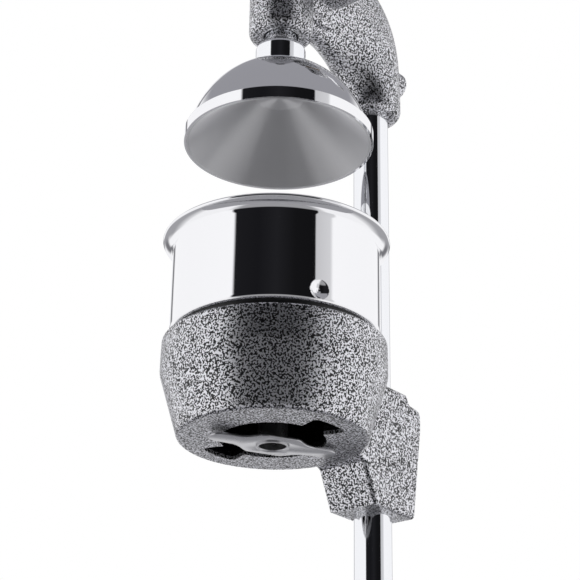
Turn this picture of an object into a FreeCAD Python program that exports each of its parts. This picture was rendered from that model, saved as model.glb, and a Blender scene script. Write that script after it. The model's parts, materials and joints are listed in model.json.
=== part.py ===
import FreeCAD, Part
import math
import os
from FreeCAD import Vector

# Lever press for citrus fruit.
# Millimetres. +Z is up, -Y is the front, +X is the lever side.
# The origin is on the table, straight below the axis on which the dome moves.

os.makedirs("parts", exist_ok=True)

# Column and the heights that hang on it
column_dia = 25.0
column_back = 103.0
column_chamfer = 1.0
rim_height = 380.0
column_socket_top = 195.0

# Fits, and the room that cutting shapes take past the faces they cut
running_fit = 0.05
slip_fit = 0.02
part_gap = 0.3
overrun = 1.0
pick_tolerance = 0.1
shortest_edge = 0.0002
bulge_share = 0.9995

# Base casting and its rubber edging
base_front_radius = 92.0
base_rear_radius = 50.0
base_rear_reach = 112.0
base_height = 24.0
base_draft = 2.5
base_wall = 7.0
base_top_wall = 8.0
base_edge_round = 5.0
edging_height = 3.0
edging_width = 6.0
edging_inset = 0.8
rib_thickness = 5.0
rib_depth = 9.0
boss_base_radius = 31.0
boss_top_radius = 20.0
boss_height = 40.0
boss_foot_flare = 3.0
boss_foot_round = 6.0
boss_top_round = 4.0
boss_floor = 17.5
boss_web = 7.0
boss_under_rise = 3.0
seat_radius = 50.0
seat_depth = 1.5
seat_chamfer = 1.0

# Bolt that draws the column into the base
column_bolt_dia = 10.0
column_bolt_length = 34.0
bolt_head_height = 6.4
bolt_head_across = 16.0
bolt_clearance = 0.5
washer_radius = 11.0
washer_thickness = 2.0
washer_clearance = 1.0

# Bowl of spun steel, measured down from its rim
bowl_radius = 66.8
bowl_lip_radius = 73.2
bowl_lip_bead = 1.3
bowl_flare_height = 6.0
bowl_flare_round = 5.5
bowl_depth = 66.8
bowl_bottom_round = 3.0
sheet_steel = 1.2
bowl_step_radius = 60.3
bowl_step_round = 3.0
funnel_top_drop = 74.0
funnel_end_drop = 118.0
dimple_count = 3
dimple_angle = -26.7
dimple_drop = 58.7
dimple_radius = 6.2
dimple_depth = 2.2
dimple_mark_radius = 1.4
dimple_mark_depth = 0.5

# Outlet tube and the wings that lock the bowl
tube_radius = 9.2
tube_bore_radius = 8.3
tube_flare_radius = 10.2
tube_flare_height = 0.8
tube_mouth_round = 1.0
tube_top_drop = 114.0
wing_angle = 63.0
wing_gap = 1.8
wing_thickness = 2.0
wing_tip_reach = 41.6
wing_tip_width = 12.5
wing_tip_round_share = 0.49
wing_waist_reach = 21.0
wing_waist_width = 14.5
wing_waist_round = 14.0
wing_middle_radius = 16.0
wing_middle_share = 0.72
wing_middle_round = 7.0

# Strainer that stands in the bowl
strainer_sheet = 1.0
strainer_shoulder_drop = 15.0
strainer_shoulder_fall = 2.0
strainer_shoulder_round = 2.5
strainer_cone_radius = 50.5
strainer_root_round = 3.0
strainer_tip_rise = 24.5
strainer_tip_radius = 15.0
strainer_tip_round = 9.0
slot_count = 20
slot_width = 2.2
slot_start = 6.0
slot_length = 17.0
slot_cut_depth = 10.0
gutter_slot_start = 3.0
gutter_slot_length = 7.0

# Bowl holder casting, measured down from the bowl's rim
holder_top_drop = 71.5
holder_top_radius = 70.9
holder_top_round = 1.5
holder_band_radius = 71.2
holder_band_height = 10.5
holder_band_round = 6.0
holder_shoulder_drop = 92.5
holder_shoulder_round = 9.0
holder_bottom_drop = 133.4
holder_bottom_radius = 59.2
holder_bottom_round = 3.0
holder_mouth_radius = 61.2
holder_mouth_drop = 95.5
holder_mouth_round = 10.0
holder_floor = 6.0
holder_floor_radius = 49.5
holder_floor_round = 6.0
seat_ring_radius = 63.6
bayonet_radius = 33.0
bayonet_lobe_count = 2
bayonet_lobe_radius = 47.0
bayonet_lobe_angle = 18.0
bayonet_corner = 3.0

# Clamp block of the holder, on the column
clamp_half_width = 19.0
clamp_top_drop = 72.3
clamp_step_drop = 78.3
clamp_bottom_drop = 157.0
clamp_front = 22.0
clamp_front_top = 33.5
clamp_front_tuck = 2.0
clamp_root = 3.0
clamp_root_rise = 8.0
clamp_collar_rear = 14.5
clamp_collar_lean = 3.0
clamp_collar_round = 3.0
clamp_step_fall = 1.5
clamp_step_round = 2.0
clamp_rear_top = 30.5
clamp_rear_round = 5.0
clamp_rear_straight = 15.0
clamp_rear_turn = 12.0
clamp_rear = 21.5
clamp_foot_round = 1.5
clamp_edge_round = 3.0
clamp_screw_drops = (105.0, 139.0)

# Dome, cone and collar that press the fruit, measured up from the bowl's rim
dome_rim_rise = 73.2
dome_radius = 62.9
dome_band_height = 9.3
dome_band_lip = 1.0
dome_band_round = 0.8
dome_shoulder_radius = 60.5
dome_top_radius = 21.0
dome_height = 56.7
dome_bulge = 7.1
dome_sheet = 1.5
cone_rim_radius = 59.9
cone_rim_height = 3.0
cone_back_inset = 0.5
cone_back_flare = 1.2
cone_back_round = 2.0
cone_top_radius = 17.6
cone_top_round = 1.5
cone_height = 37.6
cone_wall = 2.4
cone_hub_radius = 14.0
cone_hub_floor = 2.0
collar_radius = 17.1
collar_height = 19.5
collar_round = 4.5
collar_foot_round = 0.8
stud_radius = 7.0
stud_end_gap = 0.2

# Rack, pinion and shaft; the mesh is measured down from the sleeve's top
rack_radius = 11.0
rack_top_chamfer = 1.0
module = 2.5
pinion_teeth = 20
pressure_angle = 20.0
root_share = 1.25
tooth_backlash = 0.2
tooth_root_round = 0.6
flank_steps = 5
pinion_width = 16.0
rack_pitch_offset = 5.0
mesh_drop = 47.5
lever_sweep = 185.0
rack_run_out = 3.0
rack_stop_gap = 0.6
rack_stop_radius = 15.0
rack_stop_height = 11.0
rack_stop_foot_round = 1.0
rack_stop_round = 4.0
stop_screw_dia = 6.0
stop_screw_reach = 12.0
stop_screw_room = 4.0
shaft_radius = 8.0
shaft_end_reach = 2.5
key_width = 5.0
key_height = 5.0
key_length = 14.0
bush_wall = 2.5
bush_flange_radius = 13.5
bush_flange = 2.0
clip_thickness = 1.2
clip_width = 2.6
clip_groove = 1.0
clip_mouth = 5.0

# Head casting, measured up from the bowl's rim
sleeve_radius = 22.0
sleeve_bottom_rise = 155.8
sleeve_length = 106.2
sleeve_round = 5.5
sleeve_top_round = 4.0
sleeve_mouth_round = 4.0
head_hub_radius = 21.5
head_hub_bottom_rise = 139.4
hub_round = 7.5
hub_round_lead = 0.3
neck_side_radius = 20.0
neck_end = 8.0
neck_section_counts = (7, 6, 8)
neck_points = 16
arch_radius = 70.0
arch_forward = 70.0
arch_centre_rise = 104.3
neck_top_drop = 8.9
neck_bend_radius = 57.6
gear_case_radius = 36.0
gear_case_left = 23.0
gear_case_right = 14.0
gear_cavity_radius = 28.6
gear_cavity_right = 9.0
case_edge_round = 4.0
bearing_radius = 22.0
bearing_right = 40.0
bearing_edge_round = 4.0
cover_thickness = 4.0
cover_edge_round = 1.5
cover_spigot_radius = 17.0
cover_spigot_depth = 3.0
cover_spigot_gap = 2.5
cover_rod_gap = 1.0
cover_screw_circle = 32.3
cover_screw_dia = 4.0
cover_screw_count = 4
cover_screw_turn = 45.0
cover_screw_reach = 9.0
cover_screw_room = 2.0
cover_screw_clearance = 0.15
screw_boss_radius = 11.0
screw_boss_rise = 181.5
screw_boss_reach = 32.0
screw_boss_round = 2.5

# Screws: a set screw's chamfer and a button head, as shares of the diameter
set_chamfer_share = 0.125
button_head_share = 0.9
button_rise_share = 0.55
button_rim_share = 0.35
button_crown_share = 0.62
button_crown_round_share = 0.15
button_socket_share = 0.6

# Set screws of the castings and of the lever's hub
set_screw_dia = 8.0
set_screw_length = 16.0
hub_screw_dia = 6.0
hub_screw_length = 9.0

# Lever
lever_lean = 50.0
lever_hub_radius = 18.0
lever_hub_width = 24.0
lever_hub_round = 2.0
lever_socket_root_radius = 11.8
lever_socket_end_radius = 11.5
lever_socket_reach = 44.0
lever_socket_depth = 22.0
lever_rod_radius = 8.0
lever_first_run = 96.0
lever_second_run = 52.0
lever_bare_run = 12.0
lever_crank = 22.0
lever_bend_radius = 50.0
cap_radius = 12.0
cap_height = 4.0
cap_band = 1.5
cap_top_radius = 7.0
cap_band_round = 0.5
cap_round = 3.0
grip_length = 112.0
grip_radius = 15.0
grip_neck_radius = 12.0
grip_wall_end = 5.0
grip_foot_round = 1.5
grip_waist_share = 0.18
grip_waist_inset = 0.5
grip_waist_round = 60.0
grip_swell_share = 0.72
grip_swell_round = 50.0
grip_top_inset = 2.0
grip_top_round = 8.0
ferrule_length = 9.0
ferrule_radius = 11.0
ferrule_foot_inset = 1.5
ferrule_foot_round = 0.8
ferrule_swell_share = 0.45
ferrule_swell_round = 3.0

# Places that follow from the sizes above
column_radius = column_dia / 2
seat_top = base_height - seat_depth
holder_top = rim_height - holder_top_drop
holder_bottom = rim_height - holder_bottom_drop
wing_low = holder_bottom - wing_gap - wing_thickness
dome_rim = rim_height + dome_rim_rise
dome_top = dome_rim + dome_height
collar_top = dome_top + collar_height
pitch = math.pi * module
pitch_radius = module * pinion_teeth / 2
pinion_back = rack_pitch_offset + pitch_radius
press_travel = math.radians(lever_sweep) * pitch_radius
sleeve_bottom = rim_height + sleeve_bottom_rise
sleeve_top = sleeve_bottom + sleeve_length
mesh_height = sleeve_top - mesh_drop
column_top = rim_height + column_socket_top
neck_bend_rise = sleeve_bottom_rise + sleeve_length - neck_top_drop - neck_bend_radius
rack_top = sleeve_top + press_travel + rack_stop_gap
bush_outer_radius = shaft_radius + running_fit + bush_wall
lever_third_run = lever_bare_run + ferrule_length + grip_length - grip_wall_end
case_cover_face = -gear_case_left - cover_thickness
cover_inner_face = -pinion_width / 2 - cover_spigot_gap
hub_near = bearing_right + bush_flange + part_gap
hub_far = hub_near + lever_hub_width
clip_face = case_cover_face - bush_flange - part_gap
up = Vector(0, 0, 1)
across = Vector(1, 0, 0)
backward = Vector(0, 1, 0)
centre = Vector(0, 0, 0)


def in_section(radius, height):
    """Point of a section that is turned about the press axis."""
    return Vector(radius, 0, height)


def in_plan(right, back):
    """Point of a flat shape seen from above."""
    return Vector(right, back, 0)


def rounded_wire(corners, place):
    """Closed wire through corners (a, b, radius), where a tangent arc rounds each corner that has a radius."""
    count = len(corners)
    stretches = []
    for index, corner in enumerate(corners):
        here = Vector(corner[0], corner[1], 0)
        radius = corner[2] if len(corner) > 2 else 0.0
        if radius == 0.0:
            stretches.append((here, None, here))
            continue
        before = Vector(*corners[index - 1][:2], 0) - here
        after = Vector(*corners[(index + 1) % count][:2], 0) - here
        before.normalize()
        after.normalize()
        half_turn = before.getAngle(after) / 2
        setback = radius / math.tan(half_turn)
        inward = before + after
        inward.normalize()
        middle = here + inward * (radius / math.sin(half_turn) - radius)
        stretches.append((here + before * setback, middle, here + after * setback))
    edges = []
    for index, (start, middle, end) in enumerate(stretches):
        if middle is not None:
            points = [place(point.x, point.y) for point in (start, middle, end)]
            edges.append(Part.Arc(*points).toShape())
        following = stretches[(index + 1) % count][0]
        if (following - end).Length > shortest_edge:
            edges.append(Part.LineSegment(place(end.x, end.y), place(following.x, following.y)).toShape())
    return Part.Wire(Part.__sortEdges__(edges))


def turned(corners, back=0.0):
    """Solid turned about an upright axis from a section of (radius, height, corner radius)."""
    solid = Part.Face(rounded_wire(corners, in_section)).revolve(centre, up, 360)
    solid.translate(backward * back)
    return solid


def sheet_section(line, wall, to_right):
    """Closed section of a sheet: an open line of corners and its copy at one wall's distance."""
    side = 1.0 if to_right else -1.0
    points = [Vector(corner[0], corner[1], 0) for corner in line]
    ways = [points[i + 1] - points[i] for i in range(len(points) - 1)]
    for way in ways:
        way.normalize()
    normals = [Vector(way.y, -way.x, 0) * side for way in ways]
    copy = []
    for index, point in enumerate(points):
        first = normals[max(index - 1, 0)]
        second = normals[min(index, len(normals) - 1)]
        mitre = first + second
        mitre = mitre * (wall * 2 / mitre.dot(mitre))
        radius = line[index][2] if len(line[index]) > 2 else 0.0
        if radius > 0.0:
            turn = ways[index - 1].cross(ways[index]).z
            radius = radius + wall if turn * side > 0 else radius - wall
        copy.append((point.x + mitre.x, point.y + mitre.y, radius))
    return list(line) + copy[::-1]


def bulged(start, end, bulge):
    """Corner (a, b, radius) whose rounding is the arc from start to end with the given bulge."""
    chord = Vector(end[0] - start[0], end[1] - start[1], 0)
    half = chord.Length / 2
    turn = 2 * math.atan(bulge / half)
    outward = Vector(chord.y, -chord.x, 0)
    outward.normalize()
    middle = Vector((start[0] + end[0]) / 2, (start[1] + end[1]) / 2, 0)
    corner = middle + outward * half * math.tan(turn)
    return (corner.x, corner.y, half / math.sin(turn) * bulge_share)


def rod(radius, start, end):
    """Round bar from start to end."""
    return Part.makeCylinder(radius, (end - start).Length, start, end - start)


def upright_bar(radius, low, high, back=0.0):
    """Round bar on an upright axis, between two heights."""
    return Part.makeCylinder(radius, high - low, Vector(0, back, low))


def ring(outer, inner, low, high, back=0.0):
    """Flat ring between two heights."""
    return upright_bar(outer, low, high, back).cut(upright_bar(inner, low - overrun, high + overrun, back))


def moved_to(shape, base, axis):
    """Copy of an upright shape, set at base with its top towards axis."""
    copy = shape.copy()
    copy.Placement = FreeCAD.Placement(base, FreeCAD.Rotation(up, axis))
    return copy


def hexagon_bar(across_flats, low, high):
    """Upright six-sided bar."""
    reach = across_flats / math.sqrt(3)
    turns = [math.radians(60 * number) for number in range(6)]
    corners = [(reach * math.cos(turn), reach * math.sin(turn)) for turn in turns]
    bar = Part.Face(rounded_wire(corners, in_plan)).extrude(up * (high - low))
    bar.translate(up * low)
    return bar


def set_screw(diameter, length):
    """Headless screw with a hexagon socket in its top and a flat point at its foot."""
    chamfer = diameter * set_chamfer_share
    radius = diameter / 2
    body = turned([
        (0, 0),
        (radius - chamfer, 0),
        (radius, chamfer),
        (radius, length - chamfer),
        (radius - chamfer, length),
        (0, length),
    ])
    return body.cut(hexagon_bar(diameter / 2, length - diameter / 2, length))


def button_screw(diameter, length):
    """Screw with a low round head and a hexagon socket. Its seat is at the origin."""
    radius = diameter / 2
    head = diameter * button_head_share
    rise = diameter * button_rise_share
    rim = rise * button_rim_share
    body = turned([
        (0, -length),
        (radius, -length),
        (radius, 0),
        (head, 0),
        (head, rim),
        (head * button_crown_share, rise, diameter * button_crown_round_share),
        (0, rise),
    ])
    return body.cut(hexagon_bar(diameter * button_socket_share, rim, rise + rim))


def pear_wire(inset, height):
    """Outline of the base at a height: a large round in front and a small one behind, joined by tangents."""
    front = base_front_radius - inset
    rear = base_rear_radius - inset
    lean = math.asin((front - rear) / base_rear_reach)
    side = Vector(math.cos(lean), math.sin(lean), 0)
    mirrored = Vector(-side.x, side.y, 0)
    floor = Vector(0, 0, height)
    behind = Vector(0, base_rear_reach, height)
    front_right = floor + side * front
    rear_right = behind + side * rear
    front_left = floor + mirrored * front
    rear_left = behind + mirrored * rear
    edges = [
        Part.Arc(front_left, floor - backward * front, front_right).toShape(),
        Part.LineSegment(front_right, rear_right).toShape(),
        Part.Arc(rear_right, behind + backward * rear, rear_left).toShape(),
        Part.LineSegment(rear_left, front_left).toShape(),
    ]
    return Part.Wire(edges)


def pear_block(lower_inset, upper_inset, low, high):
    """Block between two outlines of the base."""
    return Part.makeLoft([pear_wire(lower_inset, low), pear_wire(upper_inset, high)], True, True)


def column_bore(low, high):
    """Round space for the column between two heights."""
    return upright_bar(column_radius + slip_fit, low, high, column_back)


def make_base_casting():
    """Cast plate, hollow and ribbed below, with the boss that holds the column."""
    block = pear_block(0, base_draft, edging_height, base_height)
    top_edges = [edge for edge in block.Edges if edge.BoundBox.ZMin > base_height - pick_tolerance]
    block = block.makeFillet(base_edge_round, top_edges)
    hollow_top = base_height - base_top_wall
    block = block.cut(pear_block(base_wall, base_wall + base_draft, edging_height - overrun, hollow_top))
    rib_low = hollow_top - rib_depth
    rib_high = rib_depth + overrun
    length = base_front_radius + base_rear_reach + base_rear_radius
    ribs = Part.makeBox(rib_thickness, length, rib_high, Vector(-rib_thickness / 2, -base_front_radius, rib_low))
    for place in (0.0, column_back - boss_base_radius):
        corner = Vector(-base_front_radius, place - rib_thickness / 2, rib_low)
        ribs = ribs.fuse(Part.makeBox(base_front_radius * 2, rib_thickness, rib_high, corner))
    ribs = ribs.common(pear_block(base_wall / 2, base_wall / 2, edging_height, hollow_top + overrun))
    boss_top = base_height + boss_height
    boss = turned([
        (0, base_height - boss_foot_flare),
        (boss_base_radius + boss_foot_flare, base_height - boss_foot_flare),
        (boss_base_radius + boss_foot_flare, base_height),
        (boss_base_radius, base_height + boss_foot_flare, boss_foot_round),
        (boss_top_radius, boss_top, boss_top_round),
        (0, boss_top),
    ], column_back)
    foot = upright_bar(boss_top_radius + boss_foot_flare, edging_height + boss_under_rise, base_height, column_back)
    body = block.multiFuse([ribs, boss, foot])
    seat = turned([
        (0, seat_top),
        (seat_radius - seat_chamfer, seat_top),
        (seat_radius, base_height),
        (seat_radius, base_height + overrun),
        (0, base_height + overrun),
    ])
    bolt_hole = upright_bar(column_bolt_dia / 2 + bolt_clearance, 0, base_height, column_back)
    bolt_recess = upright_bar(washer_radius + washer_clearance, 0, boss_floor - boss_web, column_back)
    body = body.cut(column_bore(boss_floor, boss_top + overrun))
    return body.cut(seat).cut(bolt_hole).cut(bolt_recess).removeSplitter()


def make_base_edging():
    """Rubber strip round the underside of the base."""
    outside = pear_block(edging_inset, edging_inset, 0, edging_height)
    inset = edging_inset + edging_width
    return outside.cut(pear_block(inset, inset, -overrun, edging_height + overrun))


def make_column():
    """Chromed bar with a threaded hole for the bolt in its foot."""
    bar = turned([
        (0, boss_floor),
        (column_radius - column_chamfer, boss_floor),
        (column_radius, boss_floor + column_chamfer),
        (column_radius, column_top - column_chamfer),
        (column_radius - column_chamfer, column_top),
        (0, column_top),
    ], column_back)
    return bar.cut(upright_bar(column_bolt_dia / 2 + slip_fit, boss_floor, boss_floor + column_bolt_length, column_back))


def make_column_washer():
    """Washer under the head of the column's bolt."""
    high = boss_floor - boss_web
    return ring(washer_radius, column_bolt_dia / 2 + bolt_clearance, high - washer_thickness, high, column_back)


def make_column_bolt():
    """Hexagon bolt, entered from below."""
    seat = boss_floor - boss_web - washer_thickness
    low = seat - bolt_head_height
    head = hexagon_bar(bolt_head_across, low, seat)
    head.translate(backward * column_back)
    return head.fuse(upright_bar(column_bolt_dia / 2, low, low + column_bolt_length, column_back))


def set_screw_hole(height, mouth_back):
    """Hole for a set screw that bears on the rear of the column."""
    start = Vector(0, column_back + column_radius - overrun, height)
    return rod(set_screw_dia / 2 + slip_fit, start, Vector(0, mouth_back + overrun, height))


def set_screw_at(height):
    """Set screw that bears on the rear of the column."""
    start = Vector(0, column_back + column_radius + slip_fit, height)
    return moved_to(set_screw(set_screw_dia, set_screw_length), start, backward)


def holder_cavity():
    """Space inside the holder for the bowl's funnel."""
    floor = holder_bottom + holder_floor
    return turned([
        (0, floor),
        (holder_floor_radius, floor, holder_floor_round),
        (holder_mouth_radius, rim_height - holder_mouth_drop, holder_mouth_round),
        (holder_mouth_radius, holder_top + overrun),
        (0, holder_top + overrun),
    ])


def bayonet_opening():
    """Hole in the holder's floor with a lobe to each side, for the wings to pass."""
    low = holder_bottom - overrun
    depth = holder_floor + overrun * 2
    opening = upright_bar(bayonet_radius, low, low + depth)
    sector = Part.makeCylinder(bayonet_lobe_radius, depth, up * low, up, bayonet_lobe_angle * 2)
    for number in range(bayonet_lobe_count):
        lobe = sector.copy()
        lobe.rotate(centre, up, number * 360 / bayonet_lobe_count - bayonet_lobe_angle)
        outer = []
        for edge in lobe.Edges:
            middle = edge.BoundBox.Center
            if edge.BoundBox.ZLength > depth - pick_tolerance and math.hypot(middle.x, middle.y) > bayonet_radius:
                outer.append(edge)
        opening = opening.fuse(lobe.makeFillet(bayonet_corner, outer))
    return opening.removeSplitter()


def clamp_block():
    """Block that joins the holder to the column, drawn from the side and given its width."""
    bottom = rim_height - clamp_bottom_drop
    top = rim_height - clamp_top_drop
    step = rim_height - clamp_step_drop
    root = holder_mouth_radius - clamp_root
    collar_rear = column_back + clamp_collar_rear
    rear_top = column_back + clamp_rear_top
    corners = [
        (column_back - clamp_front, bottom),
        (column_back - clamp_front_top, holder_bottom + clamp_front_tuck),
        (root, holder_bottom + clamp_root_rise),
        (root, top),
        (collar_rear, top, clamp_collar_round),
        (collar_rear + clamp_collar_lean, step, clamp_step_round),
        (rear_top, step - clamp_step_fall, clamp_rear_round),
        (rear_top, step - clamp_rear_straight, clamp_rear_turn),
        (column_back + clamp_rear, bottom, clamp_foot_round),
    ]
    side = rounded_wire(corners, lambda back, height: Vector(-clamp_half_width, back, height))
    block = Part.Face(side).extrude(across * clamp_half_width * 2)
    rims = []
    for edge in block.Edges:
        box = edge.BoundBox
        if box.XLength < pick_tolerance and box.YMax > root + pick_tolerance:
            rims.append(edge)
    return block.makeFillet(clamp_edge_round, rims)


def make_bowl_holder():
    """Cast cup with a bayonet opening in its floor, in one piece with its clamp block."""
    shoulder = rim_height - holder_shoulder_drop
    cup = turned([
        (0, holder_bottom),
        (holder_bottom_radius, holder_bottom, holder_bottom_round),
        (holder_band_radius, shoulder, holder_shoulder_round),
        (holder_band_radius, shoulder + holder_band_height, holder_band_round),
        (holder_top_radius, holder_top, holder_top_round),
        (0, holder_top),
    ])
    body = cup.fuse(clamp_block())
    body = body.cut(holder_cavity()).cut(bayonet_opening())
    body = body.cut(column_bore(rim_height - clamp_bottom_drop - overrun, rim_height - clamp_top_drop + overrun))
    for drop in clamp_screw_drops:
        body = body.cut(set_screw_hole(rim_height - drop, column_back + clamp_rear_top))
    return body.removeSplitter()


def make_holder_set_screws():
    """Set screws that fix the holder on the column."""
    return Part.makeCompound([set_screw_at(rim_height - drop) for drop in clamp_screw_drops])


def bowl_line():
    """Outside of the bowl's sheet, from the funnel's end up to the lip."""
    bottom = rim_height - bowl_depth
    slope = math.atan2(funnel_end_drop - funnel_top_drop, bowl_step_radius - tube_radius)
    return [
        (tube_radius + slip_fit + sheet_steel * math.sin(slope), rim_height - funnel_end_drop),
        (bowl_step_radius, rim_height - funnel_top_drop, bowl_step_round),
        (bowl_step_radius, bottom),
        (bowl_radius, bottom, bowl_bottom_round),
        (bowl_radius, rim_height - bowl_flare_height, bowl_flare_round),
        (bowl_lip_radius - bowl_lip_bead, rim_height - bowl_lip_bead * 2),
    ]


def ball_of_cap(cap_radius, cap_depth):
    """Radius of the ball that presses a dent of that radius and depth."""
    return (cap_radius ** 2 + cap_depth ** 2) / (2 * cap_depth)


def make_bowl():
    """Bowl spun from one sheet, with a flared lip, a funnel and inward dimples that carry the strainer."""
    shell = turned(sheet_section(bowl_line(), sheet_steel, False))
    bead = Part.makeTorus(bowl_lip_radius - bowl_lip_bead, bowl_lip_bead, up * (rim_height - bowl_lip_bead))
    shell = shell.fuse(bead)
    dent_ball = ball_of_cap(dimple_radius, dimple_depth)
    mark_ball = ball_of_cap(dimple_mark_radius, dimple_mark_depth)
    height = rim_height - dimple_drop
    low = rim_height - bowl_depth + bowl_bottom_round / 2
    inside = upright_bar(bowl_radius - sheet_steel / 2, low, height + dimple_radius * 2)
    for number in range(dimple_count):
        turn = math.radians(dimple_angle + number * 360 / dimple_count)
        outward = Vector(math.cos(turn), math.sin(turn), 0)
        dent_floor = bowl_radius - dimple_depth
        middle = outward * (dent_floor + dent_ball) + up * height
        mark_middle = outward * (dent_floor - dimple_mark_depth + mark_ball) + up * height
        swell = Part.makeSphere(dent_ball + sheet_steel, middle).common(inside)
        shell = shell.fuse(swell).cut(Part.makeSphere(dent_ball, middle))
        shell = shell.cut(Part.makeSphere(mark_ball, mark_middle))
    return shell.removeSplitter()


def make_seat_ring():
    """Rubber ring between the bowl and its holder."""
    return ring(seat_ring_radius, bowl_step_radius + part_gap, holder_top + part_gap, rim_height - bowl_depth)


def make_outlet_tube():
    """Tube under the funnel, flared over the wings."""
    low = wing_low - tube_flare_height
    top = rim_height - tube_top_drop
    return turned([
        (tube_bore_radius + tube_flare_height, low),
        (tube_flare_radius, low),
        (tube_flare_radius, wing_low),
        (tube_radius, wing_low),
        (tube_radius, top),
        (tube_bore_radius, top),
        (tube_bore_radius, wing_low, tube_mouth_round),
    ])


def make_wing_plate():
    """Flat plate with two wings, which turns under the holder's floor and locks the bowl."""
    tip = wing_tip_width / 2
    waist = wing_waist_width / 2
    shoulder = wing_middle_radius * wing_middle_share
    quarter = [
        (wing_tip_reach, tip, wing_tip_width * wing_tip_round_share),
        (wing_waist_reach, waist, wing_waist_round),
        (shoulder, wing_middle_radius, wing_middle_round),
    ]
    half = quarter + [(-a, b, radius) for a, b, radius in quarter[::-1]]
    corners = half + [(a, -b, radius) for a, b, radius in half[::-1]]
    plate = Part.Face(rounded_wire(corners, in_plan)).extrude(up * wing_thickness)
    plate.translate(up * wing_low)
    plate = plate.cut(upright_bar(tube_radius + slip_fit, wing_low - overrun, wing_low + wing_thickness + overrun))
    plate.rotate(centre, up, wing_angle)
    return plate


def make_strainer():
    """Cone with slots, on a skirt that stands on the bowl's dimples."""
    skirt_radius = bowl_radius - sheet_steel - part_gap
    shoulder = rim_height - strainer_shoulder_drop
    foot = rim_height - dimple_drop + dimple_radius + part_gap * 2
    tip = rim_height + strainer_tip_rise
    line = [
        (skirt_radius, foot),
        (skirt_radius, shoulder, strainer_shoulder_round),
        (strainer_cone_radius, shoulder - strainer_shoulder_fall, strainer_root_round),
        (strainer_tip_radius, tip, strainer_tip_round),
        (0, tip),
    ]
    shell = turned(sheet_section(line, strainer_sheet, False))
    slope = Vector(strainer_tip_radius - strainer_cone_radius, 0, tip - shoulder)
    slope.normalize()
    corner = Vector(-slot_cut_depth / 2, -slot_width / 2, 0)
    cone_slot = Part.makeBox(slot_cut_depth, slot_width, slot_length, corner)
    start = Vector(strainer_cone_radius, 0, shoulder) + slope * slot_start
    cone_slot.Placement = FreeCAD.Placement(start, FreeCAD.Rotation(up, slope))
    corner = Vector(strainer_cone_radius + gutter_slot_start, -slot_width / 2, shoulder - slot_cut_depth / 2)
    gutter_slot = Part.makeBox(gutter_slot_length, slot_width, slot_cut_depth, corner)
    cutters = []
    for number in range(slot_count):
        turn = number * 360 / slot_count
        for shape, offset in ((cone_slot, 0.0), (gutter_slot, 180 / slot_count)):
            copy = shape.copy()
            copy.rotate(centre, up, turn + offset)
            cutters.append(copy)
    return shell.cut(Part.makeCompound(cutters))


def make_press_dome():
    """Polished dome with a plain band round its mouth."""
    shoulder = (dome_shoulder_radius, dome_rim + dome_band_height)
    crown = (dome_top_radius, dome_top)
    line = [
        (dome_radius, dome_rim),
        (dome_radius, dome_rim + dome_band_height - dome_band_lip, dome_band_round),
        shoulder,
        bulged(shoulder, crown, dome_bulge),
        crown,
        (stud_radius + slip_fit, dome_top),
    ]
    return turned(sheet_section(line, dome_sheet, False))


def make_press_cone():
    """Turned aluminium cone inside the dome, with a hub that takes the rack's stud."""
    ceiling = dome_rim + cone_height
    back = ceiling + cone_wall
    hub_top = dome_top - dome_sheet
    mouth = dome_radius - dome_sheet - slip_fit
    bore = stud_radius + slip_fit
    return turned([
        (0, ceiling),
        (cone_top_radius, ceiling, cone_top_round),
        (cone_rim_radius, dome_rim),
        (mouth, dome_rim),
        (mouth, dome_rim + cone_rim_height),
        (cone_rim_radius - cone_back_inset, dome_rim + cone_rim_height),
        (cone_top_radius + cone_back_flare, back, cone_back_round),
        (cone_hub_radius, back, cone_back_round),
        (cone_hub_radius, hub_top),
        (bore, hub_top),
        (bore, back + cone_hub_floor),
        (0, back + cone_hub_floor),
    ])


def make_collar():
    """Chromed collar between the dome and the rod."""
    seat = dome_top + collar_height / 2
    return turned([
        (stud_radius + slip_fit, dome_top),
        (collar_radius, dome_top, collar_foot_round),
        (collar_radius, collar_top, collar_round),
        (rack_radius + slip_fit, collar_top),
        (rack_radius + slip_fit, seat),
        (stud_radius + slip_fit, seat),
    ])


def rack_gap_cutter(height):
    """Space between two teeth of the rack, centred on a height."""
    tan_pressure = math.tan(math.radians(pressure_angle))
    half = pitch / 4 + tooth_backlash / 4
    root_back = rack_pitch_offset - module * root_share
    mouth_back = rack_pitch_offset + module + overrun
    root_half = half - (rack_pitch_offset - root_back) * tan_pressure
    mouth_half = half + (mouth_back - rack_pitch_offset) * tan_pressure
    corners = [
        (root_back, height - root_half, tooth_root_round),
        (root_back, height + root_half, tooth_root_round),
        (mouth_back, height + mouth_half),
        (mouth_back, height - mouth_half),
    ]
    face = Part.Face(rounded_wire(corners, lambda back, rise: Vector(-rack_radius, back, rise)))
    return face.extrude(across * rack_radius * 2)


def pinion_sweep_reach():
    """Half of the height over which the pinion reaches into the rod."""
    outer = pitch_radius + module
    return math.sqrt(outer ** 2 - (pinion_back - rack_radius) ** 2)


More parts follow.
